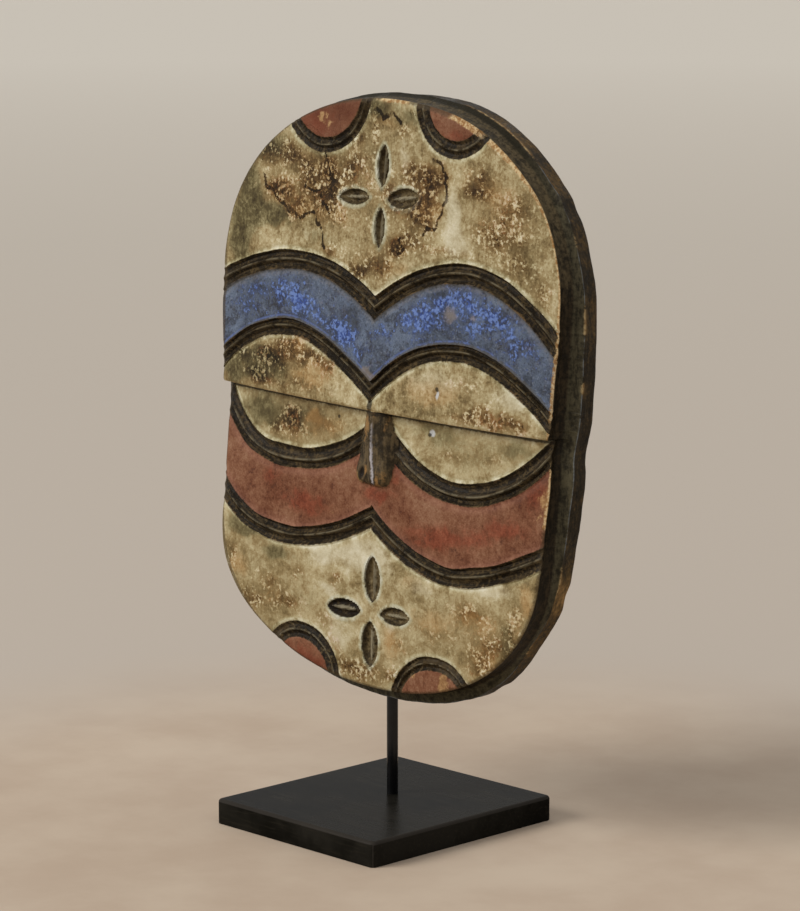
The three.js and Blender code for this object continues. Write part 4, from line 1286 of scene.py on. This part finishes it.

    # The sides: a near black wall, a grey band painted darker along the top as shade, a
    # painted bluish highlight on the arris and a brown flank.
    smoke = middle * 0.5 + strokes * 0.5 + swing(fine, 0.6)
    wall = mix(step(smoke, 0.4, 0.66), (28, 23, 15), (56, 46, 32))
    dusty_wall = mix(step(smoke, 0.36, 0.64), (42, 36, 24), (92, 80, 58))
    wall = mix(step(height + swing(middle, 0.1), 0.375, 0.425), wall, dusty_wall)
    grey_band = mix(step(smoke, 0.36, 0.64), (40, 36, 26), (80, 74, 56))
    # Along the top of the mask the band is painted darker, as painted shade.
    grey_band = mix(step(height, 0.44, 0.49) * 0.9, grey_band, (30, 26, 15))
    smoked = mix(step(side + swing(fine, 0.8), 4.8, 5.8), wall, grey_band)
    flank = ramp(smoke + ochre * 0.24 + -0.06, FLANK_WOOD)
    smoked = mix(step(side, 8.7, 9.3), smoked, flank)
    # A painted bluish highlight along the rim's arris.
    rim_line = band(side + swing(fine, 0.6), 8.9, 0.45)
    painted_arris_highlight = rim_line * step(middle, 0.38, 0.56) * step(worn, 0.5, 0.2)
    smoked = mix(painted_arris_highlight * 0.55, smoked, (112, 118, 124))
    rim_worn = step(worn + swing(middle, 1.2) + swing(fine, 0.8), 0.45, 0.8)
    rim_chip = band(side + swing(fine, 2.0), 9.3, 1.3) * rim_worn
    rim_wood = mix(step(fine, 0.4, 0.6), (128, 96, 58), (174, 150, 108))
    smoked = mix(rim_chip * 0.85, smoked, rim_wood)
    behind = mix(step(strokes, 0.35, 0.7), (66, 50, 34), (118, 94, 64))
    smoked = mix(step(side, 15, 19), smoked, behind)
    colour = mix(step(side + ragged * 0.15, 0.25, 0.75), colour, smoked)

    matt = 0.5 + swing(middle, 0.6) + swing(fine, 0.4) + lines * -0.1 + nose * -0.2
    matt = matt + step(side, 0.5, 0) * 0.1
    relief = fine * 0.6 + speck * 0.35 + crusted * -0.2 + cracked * -0.5
    relief = relief + left_over * value("blue") * 0.25 + tool_marks * lines * 0.6
    return f.done(colour, matt, 0.1, f.bump(strokes, 0.0005, 0.4, f.bump(relief, 0.0009, 0.8)))


def black_wood():
    f = Finish("black_wood")
    cloud = f.grain(16, 5, 0.6)
    fine = f.grain(300, 5, 0.65)
    fibres = f.grain(1, 5, 0.6, 0.1, f.stretch((36, 420, 420)))
    colour = f.mix(f.step(cloud, 0.35, 0.65), (16, 15, 12), (34, 32, 28))
    colour = f.mix(f.step(fibres, 0.5, 0.72) * 0.35, colour, (50, 46, 38))
    # Lighter along the eased edges and corners: wear and a painted highlight.
    wear_and_highlight = f.step(f.value("wear_and_highlight") + f.swing(fine, 0.9), 0.35, 0.9) * 0.5
    colour = f.mix(wear_and_highlight, colour, (62, 58, 54))
    rough = 0.16 + f.step(cloud, 0.3, 0.7) * 0.1 + fine * 0.08
    return f.done(colour, rough, 0.012, f.bump(fibres + fine * 0.5, 0.0002, 0.5))


def black_steel():
    f = Finish("black_steel")
    cloud = f.grain(60, 4, 0.6)
    drawn = f.grain(1, 4, 0.6, 0.0, f.stretch((900, 900, 30)))
    colour = f.mix(f.step(cloud, 0.35, 0.65), (10, 10, 11), (20, 20, 21))
    return f.done(colour, 0.14 + drawn * 0.14, 0.3, f.bump(drawn, 0.0001, 0.4))


def pale_floor():
    f = Finish("pale_floor")
    cloth = f.grain(9, 5, 0.6)
    colour = f.mix(f.step(cloth, 0.3, 0.7), (184, 165, 146), (194, 177, 158))
    distance = f.node("VectorMath", {0: f.place}, "Value", operation="LENGTH")
    far_colour = f.ramp(distance * 0.1, FLOOR_FAR)
    return f.done(f.mix(f.step(distance, 0.28, 0.6), colour, far_colour), 0.85, 0.2)


CAMERA = {"at": (1.7105, -1.65, 0.6638), "way": (-0.7065, 0.6879, -0.16626), "lens": 136.73, "sensor": 36,
          "near": 0.05, "far": 100}
KEY = {"way": (0.5, 1.0, -0.72), "power": 1.9, "spread": math.radians(28), "colour": (1.0, 0.965, 0.91)}
WINDOW = {"at": Vector((-1.6, -1.9, 1.3)), "target": Vector((0, 0, 0.3)), "size": (0.5, 1.2), "power": 9,
          "colour": (0.94, 0.97, 1.0)}
SKY = {"colour": (1.0, 0.985, 0.965, 1), "strength": 0.6}
FLOOR_SIZE = 60


def set_up(name, data, at, way):
    """Puts a camera or a lamp in the scene, looking the given way."""
    made = bpy.data.objects.new(name, data)
    made.location = at
    made.rotation_euler = Vector(way).to_track_quat("-Z", "Y").to_euler()
    bpy.context.scene.collection.objects.link(made)
    return made


def add_camera():
    data = bpy.data.cameras.new("camera")
    data.lens = CAMERA["lens"]
    data.sensor_width = CAMERA["sensor"]
    data.clip_start = CAMERA["near"]
    data.clip_end = CAMERA["far"]
    bpy.context.scene.camera = set_up("camera", data, CAMERA["at"], CAMERA["way"])


def add_stage():
    deselect_all()
    bpy.ops.mesh.primitive_plane_add(size=FLOOR_SIZE, location=(0, 0, 0))
    floor = named("floor")
    floor.data.materials.append(pale_floor())
    world = bpy.data.worlds.new("studio")
    world.use_nodes = True
    sky = world.node_tree.nodes["Background"]
    sky.inputs["Color"].default_value = SKY["colour"]
    sky.inputs["Strength"].default_value = SKY["strength"]
    bpy.context.scene.world = world
    sun = bpy.data.lights.new("key", "SUN")
    sun.energy = KEY["power"]
    sun.angle = KEY["spread"]
    sun.color = KEY["colour"]
    set_up("key", sun, (0, 0, 0), KEY["way"])
    window = bpy.data.lights.new("window", "AREA")
    window.shape = "RECTANGLE"
    window.size, window.size_y = WINDOW["size"]
    window.energy = WINDOW["power"]
    window.color = WINDOW["colour"]
    set_up("window", window, WINDOW["at"], WINDOW["target"] - WINDOW["at"])
    bpy.context.scene.view_settings.view_transform = "Standard"


add_camera()
mask = make_mask()
mask.data.materials.append(painted_wood())
plate = make_plate()
plate.data.materials.append(black_wood())
rod = make_rod()
rod.data.materials.append(black_steel())
for piece, slot, node in ((mask, "painted_wood", "mask"), (plate, "black_wood", "base_plate"),
                          (rod, "black_steel", "rod")):
    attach(piece, "root")
    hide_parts(node)
add_stage()
